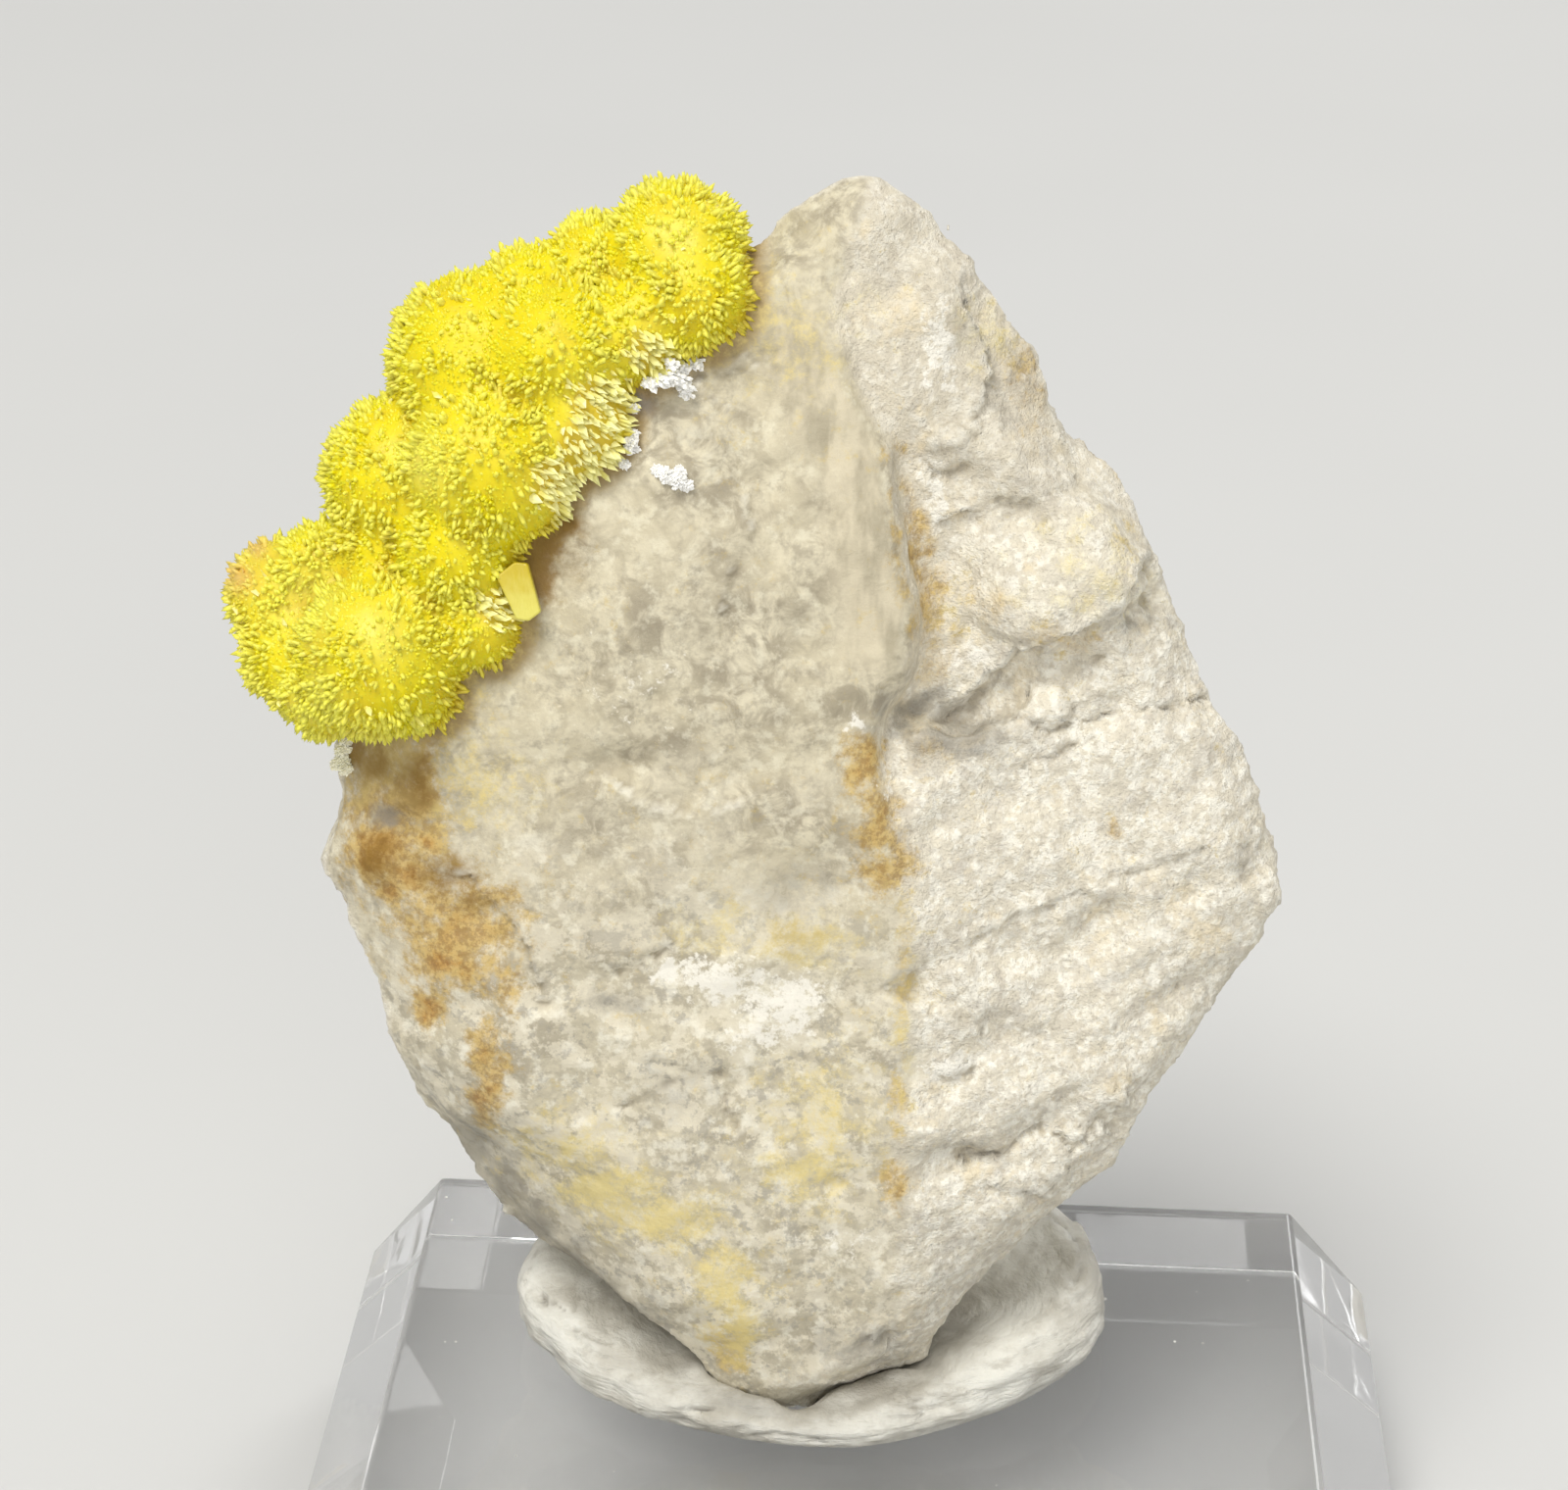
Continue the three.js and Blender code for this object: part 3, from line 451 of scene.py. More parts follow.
def even_skin(points, triangles, voxel):
    """Even quads over a closed shape."""
    holder = bpy.data.objects.new("even", fill_mesh("even", points, triangles))
    bpy.context.scene.collection.objects.link(holder)
    remesh = holder.modifiers.new("even", "REMESH")
    remesh.mode = "VOXEL"
    remesh.voxel_size = voxel
    remesh.adaptivity = 0
    made = holder.evaluated_get(bpy.context.evaluated_depsgraph_get())
    mesh = made.to_mesh()
    places = np.zeros(3 * len(mesh.vertices))
    mesh.vertices.foreach_get("co", places)
    corners = np.zeros(len(mesh.loops), dtype=np.int32)
    mesh.loops.foreach_get("vertex_index", corners)
    made.to_mesh_clear()
    bpy.data.objects.remove(holder)
    return Skin(places.reshape(-1, 3), corners.reshape(-1, 4))


def add_piece(name, mesh, material, nodes=(), smooth=True):
    """A piece of the object from a mesh in millimetres, which stands for some CAD nodes."""
    mesh.transform(Matrix.Scale(MM, 4))
    mesh.polygons.foreach_set("use_smooth", np.full(len(mesh.polygons), smooth))
    mesh.materials.append(material)
    piece = bpy.data.objects.new(name, mesh)
    bpy.context.scene.collection.objects.link(piece)
    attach(piece, "root")
    if nodes:
        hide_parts(*nodes)
    return piece


def paint(mesh, masks):
    """Stores a number at each point for each named mask."""
    for name, values in masks.items():
        layer = mesh.attributes.new(name, "FLOAT", "POINT")
        layer.data.foreach_set("value", np.ascontiguousarray(values, dtype=np.float32))


class Value:
    """A socket of a material. Sums on it add Math nodes."""

    def __init__(self, finish, socket):
        self.finish = finish
        self.socket = socket

    def sum(self, operation, first, second):
        return self.finish.add("ShaderNodeMath", {"operation": operation}, {0: first, 1: second})

    def __add__(self, other):
        return self.sum("ADD", self, other)

    def __sub__(self, other):
        return self.sum("SUBTRACT", self, other)

    def __rsub__(self, other):
        return self.sum("SUBTRACT", other, self)

    def __mul__(self, other):
        return self.sum("MULTIPLY", self, other)

    __radd__ = __add__
    __rmul__ = __mul__


class Finish:
    """A material and the nodes that are added to it."""

    def __init__(self, name, **constants):
        self.material = bpy.data.materials.new(name)
        self.material.use_nodes = True
        self.nodes = self.material.node_tree.nodes
        self.links = self.material.node_tree.links
        self.shader = self.nodes["Principled BSDF"]
        for socket, value in constants.items():
            self.shader.inputs[socket.replace("_", " ")].default_value = value

    def add(self, kind, settings=None, sockets=None, output=0):
        node = self.nodes.new(kind)
        for setting, value in (settings or {}).items():
            if setting == "stops":
                self.set_stops(node.color_ramp.elements, value)
            else:
                setattr(node, setting, value)
        for socket, value in (sockets or {}).items():
            self.feed(node.inputs[socket], value)
        return Value(self, node.outputs[output])

    def set_stops(self, elements, stops):
        while len(elements) < len(stops):
            elements.new(1)
        for element, (place, colour) in zip(elements, stops):
            element.position = place
            element.color = colour

    def feed(self, socket, value):
        if isinstance(value, Value):
            self.links.new(value.socket, socket)
        else:
            socket.default_value = value

    def place(self):
        return self.add("ShaderNodeTexCoord", output="Object")

    def noise(self, size, detail=3, rough=0.5, stretch=None, warp=0.0):
        """Noise whose bumps are about size millimetres across."""
        where = self.place()
        if stretch:
            where = self.add("ShaderNodeMapping", {}, {"Vector": where, "Scale": stretch})
        sockets = {"Vector": where, "Scale": 1 / (size * MM), "Detail": detail, "Roughness": rough,
                   "Distortion": warp}
        return self.add("ShaderNodeTexNoise", {}, sockets, "Fac")

    def grains(self, size, feature="F1", rough=1.0):
        sockets = {"Vector": self.place(), "Scale": 1 / (size * MM), "Randomness": rough}
        return self.add("ShaderNodeTexVoronoi", {"feature": feature}, sockets, "Distance")

    def grain_tones(self, size):
        """A number from 0 to 1 for each grain."""
        sockets = {"Vector": self.place(), "Scale": 1 / (size * MM)}
        colour = self.add("ShaderNodeTexVoronoi", {"feature": "F1"}, sockets, "Color")
        return self.add("ShaderNodeSeparateColor", {}, {0: colour}, "Red")

    def curds(self, size, reach):
        """Distance from the edges of ragged grains of a size, whose edges wander by a reach."""
        sockets = {"Vector": self.place(), "Scale": 1 / (size * MM), "Detail": 3}
        moves = self.add("ShaderNodeTexNoise", {}, sockets, "Color")
        sockets = {0: moves, 1: (reach * MM, reach * MM, reach * MM), 2: self.place()}
        where = self.add("ShaderNodeVectorMath", {"operation": "MULTIPLY_ADD"}, sockets)
        sockets = {"Vector": where, "Scale": 1 / (size * MM)}
        return self.add("ShaderNodeTexVoronoi", {"feature": "DISTANCE_TO_EDGE"}, sockets, "Distance")

    def mask(self, name):
        return self.add("ShaderNodeAttribute", {"attribute_name": name}, output="Fac")

    def between(self, value, low, high, start=0.0, end=1.0):
        """Runs smoothly from start to end while the value goes from low to high."""
        sockets = {"Value": value, "From Min": low, "From Max": high, "To Min": start, "To Max": end}
        return self.add("ShaderNodeMapRange", {"interpolation_type": "SMOOTHSTEP"}, sockets)

    def mix(self, first, second, share, blend="MIX"):
        node = self.nodes.new("ShaderNodeMix")
        node.data_type = "RGBA"
        node.blend_type = blend
        self.feed(node.inputs[0], share)
        self.feed(node.inputs[6], first)
        self.feed(node.inputs[7], second)
        return Value(self, node.outputs[2])

    def bump(self, height, rise, under=None):
        """Bumps of a rise in millimetres for heights from 0 to 1."""
        sockets = {"Height": height, "Distance": rise * MM}
        if under:
            sockets["Normal"] = under
        return self.add("ShaderNodeBump", {}, sockets, "Normal")

    def wear(self, **sockets):
        for socket, value in sockets.items():
            self.feed(self.shader.inputs[socket.replace("_", " ")], value)
        return self.material


def rock_finish():
    """Pale rock: waxy and softly mottled on the left panel, sugary and nearly white on the right."""
    finish = Finish("pale_rock", Specular_IOR_Level=0.3)
    grain = finish.mask("grain")
    wide = finish.noise(2.6, 4, 0.55)
    left = finish.mix(srgb(166, 156, 134), srgb(202, 192, 165), finish.between(wide, 0.4, 0.6))
    clouds = finish.between(finish.noise(0.8, 5, 0.64, warp=0.6), 0.4, 0.62)
    left = finish.mix(left, srgb(226, 217, 190), clouds * finish.between(wide, 0.3, 0.6, 0.95, 0.65))
    clots = finish.between(finish.curds(0.55, 0.7), 0.0, 0.2)
    worn = finish.between(finish.noise(0.9, 4, 0.6), 0.4, 0.62)
    left = finish.mix(left, srgb(150, 140, 120), (1 - clots) * worn * 0.28)
    drops = finish.between(finish.noise(0.5, 4, 0.66), 0.5, 0.68)
    left = finish.mix(left, srgb(236, 230, 206), drops * 0.5)
    left = finish.mix(left, srgb(148, 138, 119), finish.between(finish.noise(0.8, 4, 0.7), 0.52, 0.72) * 0.6)
    flecked = finish.mask("flecked")
    left = finish.mix(left, srgb(196, 188, 167), flecked * 0.4)
    blotches = finish.between(finish.noise(1.05, 5, 0.72), 0.47, 0.54)
    left = finish.mix(left, srgb(228, 220, 198), flecked * blotches * 0.7)
    greys = finish.between(finish.noise(0.66, 4, 0.72), 0.54, 0.62)
    left = finish.mix(left, srgb(166, 160, 146), flecked * greys * 0.65)
    left = finish.mix(left, srgb(246, 242, 226), flecked * drops * 0.5)
    sugar = finish.noise(0.3, 3, 0.62)
    right = finish.mix(srgb(232, 224, 204), srgb(252, 248, 234), finish.between(sugar, 0.44, 0.57))
    grains = finish.between(finish.curds(0.36, 0.5), 0.0, 0.4)
    rubbed = finish.between(finish.noise(0.7, 3, 0.6), 0.36, 0.6, 0.2, 0.9)
    right = finish.mix(right, srgb(200, 192, 176), (1 - grains) * rubbed * 0.6)
    dull = finish.between(finish.noise(0.75, 4, 0.68, warp=0.6), 0.52, 0.66)
    right = finish.mix(right, srgb(196, 188, 174), dull * 0.5)
    # Painted shade: the right panel darker towards its top
    right = finish.mix(right, srgb(206, 196, 174), finish.mask("dim") * 0.4)
    tan = finish.between(finish.noise(1.7, 4, 0.7), 0.54, 0.7)
    right = finish.mix(right, srgb(236, 217, 176), tan * 0.5)
    specks = finish.between(finish.noise(0.13, 2, 0.6), 0.58, 0.7)
    right = finish.mix(right, srgb(182, 172, 154), specks * 0.5)
    streaks = finish.noise(0.7, 3, 0.6, stretch=(1, 1, 0.16))
    waxy = finish.mix(srgb(176, 166, 141), srgb(214, 203, 176), finish.between(streaks, 0.38, 0.62))
    left = finish.mix(left, waxy, finish.mask("waxy") * 0.85)
    colour = finish.mix(left, right, grain)
    ragged = finish.noise(0.6, 5, 0.78) - 0.5
    ochre = finish.mask("ochre") + ragged * 1.6
    grainy = finish.between(finish.noise(0.22, 3, 0.7), 0.4, 0.6)
    colour = finish.mix(
        colour, finish.mix(srgb(168, 136, 72), srgb(206, 176, 104), grainy), finish.between(ochre, 0.1, 0.6) * 0.85
    )
    colour = finish.mix(
        colour, finish.mix(srgb(150, 102, 40), srgb(184, 136, 62), grainy), finish.between(ochre, 0.5, 1.1) * 0.85
    )
    # Near the crust's foot: painted shadow under the crust, tinted brown-gold like a stain
    foot = finish.mask("foot") + ragged * 0.6
    colour = finish.mix(colour, srgb(150, 120, 52), finish.between(foot, 0.3, 1.0) * 0.75)
    # Painted shade on the strip along the lower left side
    colour = finish.mix(colour, srgb(134, 128, 116), finish.mask("dusk") * 0.8)
    lemon = finish.mask("lemon") + ragged * 2.2
    colour = finish.mix(colour, srgb(228, 210, 142), finish.between(lemon, 0.15, 0.95) * 0.85)
    # Dark brown: a real brown stain at the left edge, and painted shadow by the crust's foot and under the white
    # spray
    umber = finish.mask("umber") + ragged * 0.9
    colour = finish.mix(colour, srgb(132, 100, 38), finish.between(umber, 0.15, 0.95) * 0.88)
    # White powder, and on the bulge a painted highlight
    powder = finish.mask("powder") + (finish.noise(0.3, 3, 0.75) - 0.5) * 1.8
    colour = finish.mix(colour, srgb(246, 242, 230), finish.between(powder, 0.42, 0.75) * 0.85)
    shade = finish.mask("shade") + (finish.noise(0.5, 4, 0.75) - 0.5) * 1.1
    colour = finish.mix(colour, srgb(142, 137, 127), finish.between(shade, 0.3, 1.1) * 0.75)
    # Painted shade in hollows, and a painted highlight on crests
    colour = finish.mix(colour, srgb(150, 138, 116), finish.mask("hollow") * 0.5)
    colour = finish.mix(colour, srgb(254, 251, 238), finish.mask("crest") * 0.4)
    fine = finish.noise(0.1, 2, 0.75)
    grit = finish.noise(0.32, 4, 0.75)
    low_bump = finish.bump(grit, 0.045)
    right_bump = finish.bump((fine + grit * 0.6 + grains * 0.25) * grain, 0.055, low_bump)
    return finish.wear(Base_Color=colour, Roughness=0.6 + grain * 0.22, Normal=right_bump)


def crystal_finish(name, deep, middle, tip, pale, rusty, dull, crevice_shade, **constants):
    """Small crystals: deep colour at the root, paler to the tip, dull in patches and with painted shade in crevices.
    """
    finish = Finish(name, **constants)
    height = finish.mask("height")
    tone = finish.mask("tone")
    colour = finish.mix(deep, middle, finish.between(height + tone * 0.15, 0.1, 0.6))
    colour = finish.mix(colour, dull, finish.between(tone, 0.0, 0.9) * 0.6)
    colour = finish.mix(colour, pale, finish.mask("pale") * 0.6)
    colour = finish.mix(colour, tip, finish.between(height + finish.mask("pale") * 0.4, 0.8, 1.35))
    colour = finish.mix(colour, rusty, finish.mask("rusty") * 0.8)
    colour = finish.mix(colour, crevice_shade, finish.mask("hollow") * 0.7)
    lines = finish.noise(0.05, 2, 0.5)
    return finish.wear(Base_Color=colour, Roughness=0.34 + lines * 0.15, Normal=finish.bump(lines, 0.004))


def putty_finish():
    """White putty: matte and a little greasy, with faint grey smears."""
    finish = Finish("white_putty", Specular_IOR_Level=0.35, Subsurface_Weight=0.2, Subsurface_Scale=0.0005)
    finish.shader.inputs["Subsurface Radius"].default_value = (1.0, 0.95, 0.85)
    colour = finish.mix(
        srgb(202, 198, 186), srgb(228, 226, 216), finish.between(finish.noise(1.8, 4, 0.6), 0.38, 0.6)
    )
    smears = finish.between(finish.noise(1.1, 5, 0.7, stretch=(0.8, 0.8, 3)), 0.52, 0.72)
    colour = finish.mix(colour, srgb(176, 170, 156), smears * 0.6)
    specks = finish.between(finish.noise(0.2, 3, 0.5), 0.76, 0.8)
    colour = finish.mix(colour, srgb(120, 108, 92), specks * 0.5)
    # Painted shade in creases, and painted shadow mixed with some grime next to the rock
    colour = finish.mix(colour, srgb(112, 104, 90), finish.mask("hollow") * 0.75)
    grime_and_shadow = finish.mask("beside_rock") * finish.between(finish.noise(1.3, 4, 0.6), 0.3, 0.6, 0.55, 1.0)
    colour = finish.mix(colour, srgb(126, 119, 106), grime_and_shadow * 0.7)
    wrinkles = finish.noise(0.8, 5, 0.6, stretch=(0.6, 0.6, 3.2)) + finish.noise(0.09, 3, 0.6) * 0.12
    return finish.wear(
        Base_Color=colour, Roughness=0.5 + finish.noise(0.8, 3, 0.5) * 0.2, Normal=finish.bump(wrinkles, 0.2)
    )


def clear_finish():
    """Clear acrylic, polished, with the faintest waviness from the polishing."""
    finish = Finish("clear_acrylic", Base_Color=(1, 1, 1, 1), Transmission_Weight=1.0, IOR=1.49)
    haze = finish.between(finish.noise(5, 4, 0.6), 0.45, 0.8, 0.01, 0.045)
    return finish.wear(Roughness=haze, Normal=finish.bump(finish.noise(2.5, 2, 0.4), 0.003))


def tablet_finish():
    """Amber crystal with growth lines, golden at its foot and paler to its tip."""
    finish = Finish(
        "amber_crystal", Subsurface_Weight=0.1, Subsurface_Scale=0.0003,
        Subsurface_Radius=(1.0, 1.0, 0.4), Specular_IOR_Level=0.5
    )
    lines = finish.noise(0.12, 2, 0.5, stretch=(1, 1, 0.2))
    cloud = (finish.noise(0.3, 3, 0.5) - 0.5) * 0.5
    colour = finish.mix(
        srgb(220, 211, 98), srgb(202, 180, 36), finish.between(finish.mask("height") + cloud, 0.15, 0.95)
    )
    return finish.wear(Base_Color=colour, Roughness=0.3 + lines * 0.15, Normal=finish.bump(lines, 0.012))


def dust_finish():
    finish = Finish("dust")
    colour = finish.mix(srgb(214, 210, 200), srgb(250, 250, 246), finish.noise(0.1, 2, 0.5))
    return finish.wear(Base_Color=colour, Roughness=0.8)


def bell(across, up, place_across, place_up, half_across, half_up):
    """1 at a place, and 0 well away from it."""
    return np.exp(-(((across - place_across) / half_across) ** 2) - ((up - place_up) / half_up) ** 2)


def stain_and_shading_masks(points, front, side, behind):
    across, up = seen_place(points)
    ragged = Noise(41)
    across = across + 0.3 * ragged.layers(points, 1.2, 4, 0.65)
    up = up + 0.3 * ragged.layers(points + 31, 1.2, 4, 0.65)
    masks = {name: np.zeros(len(points)) for name in stain_and_shading_names}
    for name, place_across, place_up, half_across, half_up, strength in stains_and_shading:
        spread = 1.25
        spot = strength * (side if name == "dusk" else front) * bell(
            across, up, place_across, place_up, spread * half_across, spread * half_up
        )
        masks[name] = np.maximum(masks[name], spot)
    masks["ochre"] += 0.55 * behind * smoothstep(0.3, 1.1, Noise(43).layers(points, 5.5, 4, 0.65))
    masks["lemon"] += 0.5 * behind * smoothstep(0.2, 1.0, Noise(44).layers(points, 4.5, 4, 0.65))
    return masks


def face_relief(points, jagged):
    """Cracks, ledges, pits and humps of the broad face, as a rise at each point."""
    across, up = seen_place(points)
    across = across + 0.14 * jagged.layers(points, 0.7, 4, 0.75)
    up = up + 0.14 * jagged.layers(points + 23, 0.7, 4, 0.75)
    broken = smoothstep(-0.5, 0.5, jagged.layers(points + 57, 1.6, 3, 0.7))
    rise = np.zeros(len(points))
    for ledge in ledges:
        gap, signed = path_distance(across, up, ledge["path"])
        past = signed * ledge["side"]
        near_end = smoothstep(0.0, 0.3, gap - np.abs(signed) + 0.3)
        fade = 1 - smoothstep(0.35 * ledge["reach"], ledge["reach"], gap)
        drop = ledge["drop"] * (0.25 + 0.7 * broken)
        rise -= drop * smoothstep(-0.02, 0.1, past) * fade * near_end
        rise += 0.3 * drop * np.exp(-((past + 0.08) / 0.12) ** 2) * (gap < 1)
    for crack in cracks:
        gap, _ = path_distance(across, up, crack["path"])
        deep = crack["deep"] * (0.4 + 0.6 * broken)
        rise -= deep * (1 - smoothstep(0.3 * crack["half"], 1.6 * crack["half"], gap))
    for place_across, place_up, radius, deep in pits:
        rise -= deep * bell(across, up, place_across, place_up, radius, radius)
    for place_across, place_up, half_across, half_up, high in humps:
        spot = bell(across, up, place_across, place_up, half_across, half_up)
        rise += high * smoothstep(0.3, 0.5, spot)
    return rise


def make_rock():
    points, triangles = node_arrays("matrix_rock")
    skin = even_skin(points, triangles, rock_voxel)
    soft = skin.blurred(skin.points, 8)
    skin.points = soft + skin.blurred(skin.points - soft, 8)
    facing = skin.normals() @ towards_viewer
    front = smoothstep(0.15, 0.55, facing)
    across, up = seen_place(skin.points)
    _, beside = path_distance(across, up, ridge)
    loose = 0.15 + 0.6 * smoothstep(15.0, 11.0, up)
    wander = loose * Noise(11).layers(skin.points, 1.1, 3, 0.6)
    grain = smoothstep(0.1 - loose, 0.2 + loose, wander - beside) * front
    grain = np.maximum(grain, 0.85 * (1 - front))
    broad, medium, fine = Noise(1), Noise(2), Noise(3)
    shape = skin.points.copy()
    ragged = broad.bent(shape, 1.2, 0.3)
    rise = 0.10 * broad.layers(shape, 3.0, 2)
    behind = 0.3 * (1 - front) + 0.7 * smoothstep(0.05, -0.5, facing)
    behind *= 1 - 0.85 * smoothstep(29.5, 32.0, up)
    rise += behind * (1.7 * medium.scars(ragged, 5.2) + 0.6 * medium.scars(ragged, 2.1))
    rear = smoothstep(-0.2, -0.7, facing)
    rise += rear * (1.3 * medium.scars(ragged + 21, 6.5) + 0.9 * np.maximum(0, medium.scars(ragged + 33, 3.4) - 0.1))
    rise += (1 - front) * (0.22 * medium.scars(ragged + 9, 0.9) + 0.05 * fine.layers(shape, 0.5, 2, 0.8))
    rise += front * grain * (0.2 * medium.scars(ragged, 2.4) + 0.12 * medium.scars(ragged + 9, 0.9))
    rise += grain * 0.045 * fine.layers(shape, 0.4, 3, 0.85)
    waxy = front * smoothstep(0.05, 0.3, beside) * (1 - smoothstep(1.3, 2.2, beside))
    waxy *= smoothstep(20.0, 22.0, up) * (1 - smoothstep(29.5, 31.0, up))
    rise += (1 - grain) * (0.12 * medium.scars(ragged, 2.8) + 0.016 * fine.layers(shape, 0.6, 3, 0.7))
    scaly = smoothstep(-0.2, 0.4, Noise(12).layers(shape, 3.2, 2)) * (1 - waxy)
    rise += (1 - grain) * front * scaly * 0.03 * medium.scars(ragged + 3, 0.85)
    low_left = (1 - grain) * smoothstep(15.0, 9.5, up) * front
    rise += low_left * (0.03 * fine.layers(shape, 0.5, 3, 0.8) + 0.1 * medium.scars(ragged + 5, 1.1))
    rise += front * face_relief(shape, Noise(5))
    step = smoothstep(-0.1, 0.35, -beside) * (1 - smoothstep(0.5, 1.3, -beside))
    step_rows = smoothstep(15.5, 19.0, up) * (1 - smoothstep(27.0, 29.0, up))
    rise -= 0.12 * front * step * step_rows
    skin.push(rise * (1 - 0.7 * smoothstep(31.0, 33.0, up)))
    lip = front * step_rows * (1 - smoothstep(0.35, 1.1, np.abs(beside)))
    skin.points += lip[:, None] * (skin.blurred(skin.points, 9) - skin.points)
    masks = stain_and_shading_masks(skin.points, front, smoothstep(-0.2, 0.1, facing), smoothstep(-0.1, -0.5, facing))
    masks["grain"] = grain
    # Painted shadow next to the crust's lumps, tinted brown-gold like a stain
    masks["foot"] = 1 - smoothstep(0.1, 1.0, lump_gaps(skin.points, all_lumps()).min(axis=0))
    masks["waxy"] = waxy
    # Painted shade towards the top of the right panel
    masks["dim"] = front * smoothstep(23.0, 27.0, up)
    patchy = up + 3.0 * Noise(13).layers(shape, 3.5, 3, 0.6)
    masks["flecked"] = (1 - grain) * smoothstep(19.5, 10.0, patchy)
    # Painted shade in hollows and a painted highlight on crests
    sunk = 0.6 * skin.sunk(2) / 0.035 + 0.4 * skin.sunk(9) / 0.14
    masks["hollow"] = smoothstep(0.3, 1.6, sunk)
    masks["crest"] = smoothstep(0.3, 1.6, -sunk)
    mesh = fill_mesh("matrix_rock_surface", skin.points, skin.quads)
    paint(mesh, masks)
    add_piece("matrix_rock_surface", mesh, rock_finish(), ["matrix_rock"])
    return skin


def tree_of(skin):
    return BVHTree.FromPolygons([Vector(p) for p in skin.points], skin.quads.tolist())


def depth_in(tree, point):
    """How deep a point lies in a closed skin, with a minus sign outside."""
    place, normal, _, gap = tree.find_nearest(Vector(point))
    return gap if (Vector(point) - place).dot(normal) < 0 else -gap


def on_skin(trees, across, up):
    """The first skin and its normal that are seen at a place on the face."""
    eye = to_part(np.array((eye_across, -eye_away, eye_up)))
    aim = Vector(face_point(across, up, 0.0) - eye).normalized()
    hits = [tree.ray_cast(Vector(eye), aim) for tree in trees]
    place, normal, _, _ = min((hit for hit in hits if hit[0]), key=lambda hit: hit[3])
    return np.array(place), np.array(normal)


def even_directions(count, draw):
    """Directions spread evenly over a ball, a little shaken."""
    turn = math.pi * (3 - math.sqrt(5))
    index = np.arange(count) + 0.5
    height = 1 - 2 * index / count
    ring = np.sqrt(1 - height * height)
    spread = np.stack((ring * np.cos(turn * index), ring * np.sin(turn * index), height), axis=1)
    spread += draw.normal(scale=0.5 / math.sqrt(count), size=spread.shape)
    return spread / np.linalg.norm(spread, axis=1, keepdims=True)


def unit(vectors):
    return vectors / np.linalg.norm(vectors, axis=1, keepdims=True)


class Bunch:
    """Many small crystals gathered as one mesh."""

    def __init__(self):
        self.points = []
        self.quads = []
        self.tips = []
        self.masks = {}
        self.count = 0

    def grow(self, roots, axes, lengths, halves, flat, draw, masks, taper=0.86, point=(0.4, 1.5),
             facing=(0, 0, 0), loose=1.0):
        """Adds four-sided prisms with slanted points. Flat is the thickness as a share of the width,
        point the least and most length of the points in widths, and facing where the flat sides look."""
        number = len(roots)
        across = unit(np.cross(axes, facing + draw.normal(scale=loose, size=axes.shape)))
        other = np.cross(axes, across)
        point_length = halves * draw.uniform(*point, number)
        shoulder = np.maximum(lengths - point_length, 0.4 * lengths)
        rings = []
        for reach, width in ((np.zeros(number), halves * taper), (shoulder, halves)):
            for side in (across, flat * other, -across, -flat * other):
                rings.append(roots + axes * reach[:, None] + side * width[:, None])
        lean = draw.uniform(-0.7, 0.7, number) * halves
        rings.append(roots + axes * lengths[:, None] + across * lean[:, None])
        self.points.append(np.stack(rings, axis=1).reshape(-1, 3))
        first = self.count + len(rings) * np.arange(number)[:, None]
        self.quads.append(first + np.array((3, 2, 1, 0)))
        for corner in range(4):
            after = (corner + 1) % 4
            self.quads.append(first + np.array((corner, after, after + 4, corner + 4)))
            self.tips.append(first + np.array((corner + 4, after + 4, 8)))
        masks = masks | {"height": np.tile([0.0] * 4 + [0.8] * 4 + [1.0], number)}
        for name, values in masks.items():
            spread = values if name == "height" else np.repeat(values, len(rings))
            self.masks.setdefault(name, []).append(spread)
        self.count += len(rings) * number

    def mesh(self, name):
        made = fill_mesh(
            name, np.concatenate(self.points), np.concatenate(self.quads), np.concatenate(self.tips)
        )
        paint(made, {mask: np.concatenate(values) for mask, values in self.masks.items()})
        return made


def all_lumps():
    """Middle and radius of each lump, those behind the rim and their buds included."""
    draw = np.random.default_rng(73)
    lumps = []
    for across, up, out, radius in face_lumps:
        lumps.append((face_point(across, up, out), radius))
        if out < rim_least_out and across > rim_most_left:
            behind = face_point(across, up, out - rim_back)
            lumps.append((behind, radius * rim_share))
            for turn in draw.uniform(0, 2 * math.pi, bud_count):
                aim = own_axes @ unit(np.array(((math.cos(turn), draw.uniform(-0.2, 0.8), math.sin(turn)),)))[0]
                lumps.append((behind + 0.62 * radius * aim, radius * draw.uniform(0.34, 0.52)))
    return lumps


def lump_gaps(points, lumps):
    """Distance of each point from each lump's round surface, one row for a lump."""
    return np.stack([np.linalg.norm(points - middle, axis=1) - radius for middle, radius in lumps])


def outward(points, lumps):
    """Directions out of the middle of the lump that each point is nearest to."""
    middles = np.array([middle for middle, _ in lumps])
    return unit(points - middles[np.argmin(lump_gaps(points, lumps), axis=0)])


def patch_share(points, patches):
    """How much each point lies in any of some patches of the face."""
    across, up = seen_place(points)
    share = np.zeros(len(points))
    for place_across, place_up, reach in patches:
        share = np.maximum(share, bell(across, up, place_across, place_up, reach, reach))
    return share


def lump_swell(directions, middle):
    """Lumps aren't quite round: their radius goes up and down by some hundredths."""
    return 1 + 0.05 * Noise(61).layers(directions * 1.3 + middle, 0.9, 2)


def even_ball(levels):
    """A ball of even triangles of radius 1, as points and triangles."""
    shape = bmesh.new()
    bmesh.ops.create_icosphere(shape, subdivisions=levels, radius=1)
    points = np.array([vert.co[:] for vert in shape.verts])
    triangles = np.array([[vert.index for vert in face.verts] for face in shape.faces])
    shape.free()
    return points, triangles


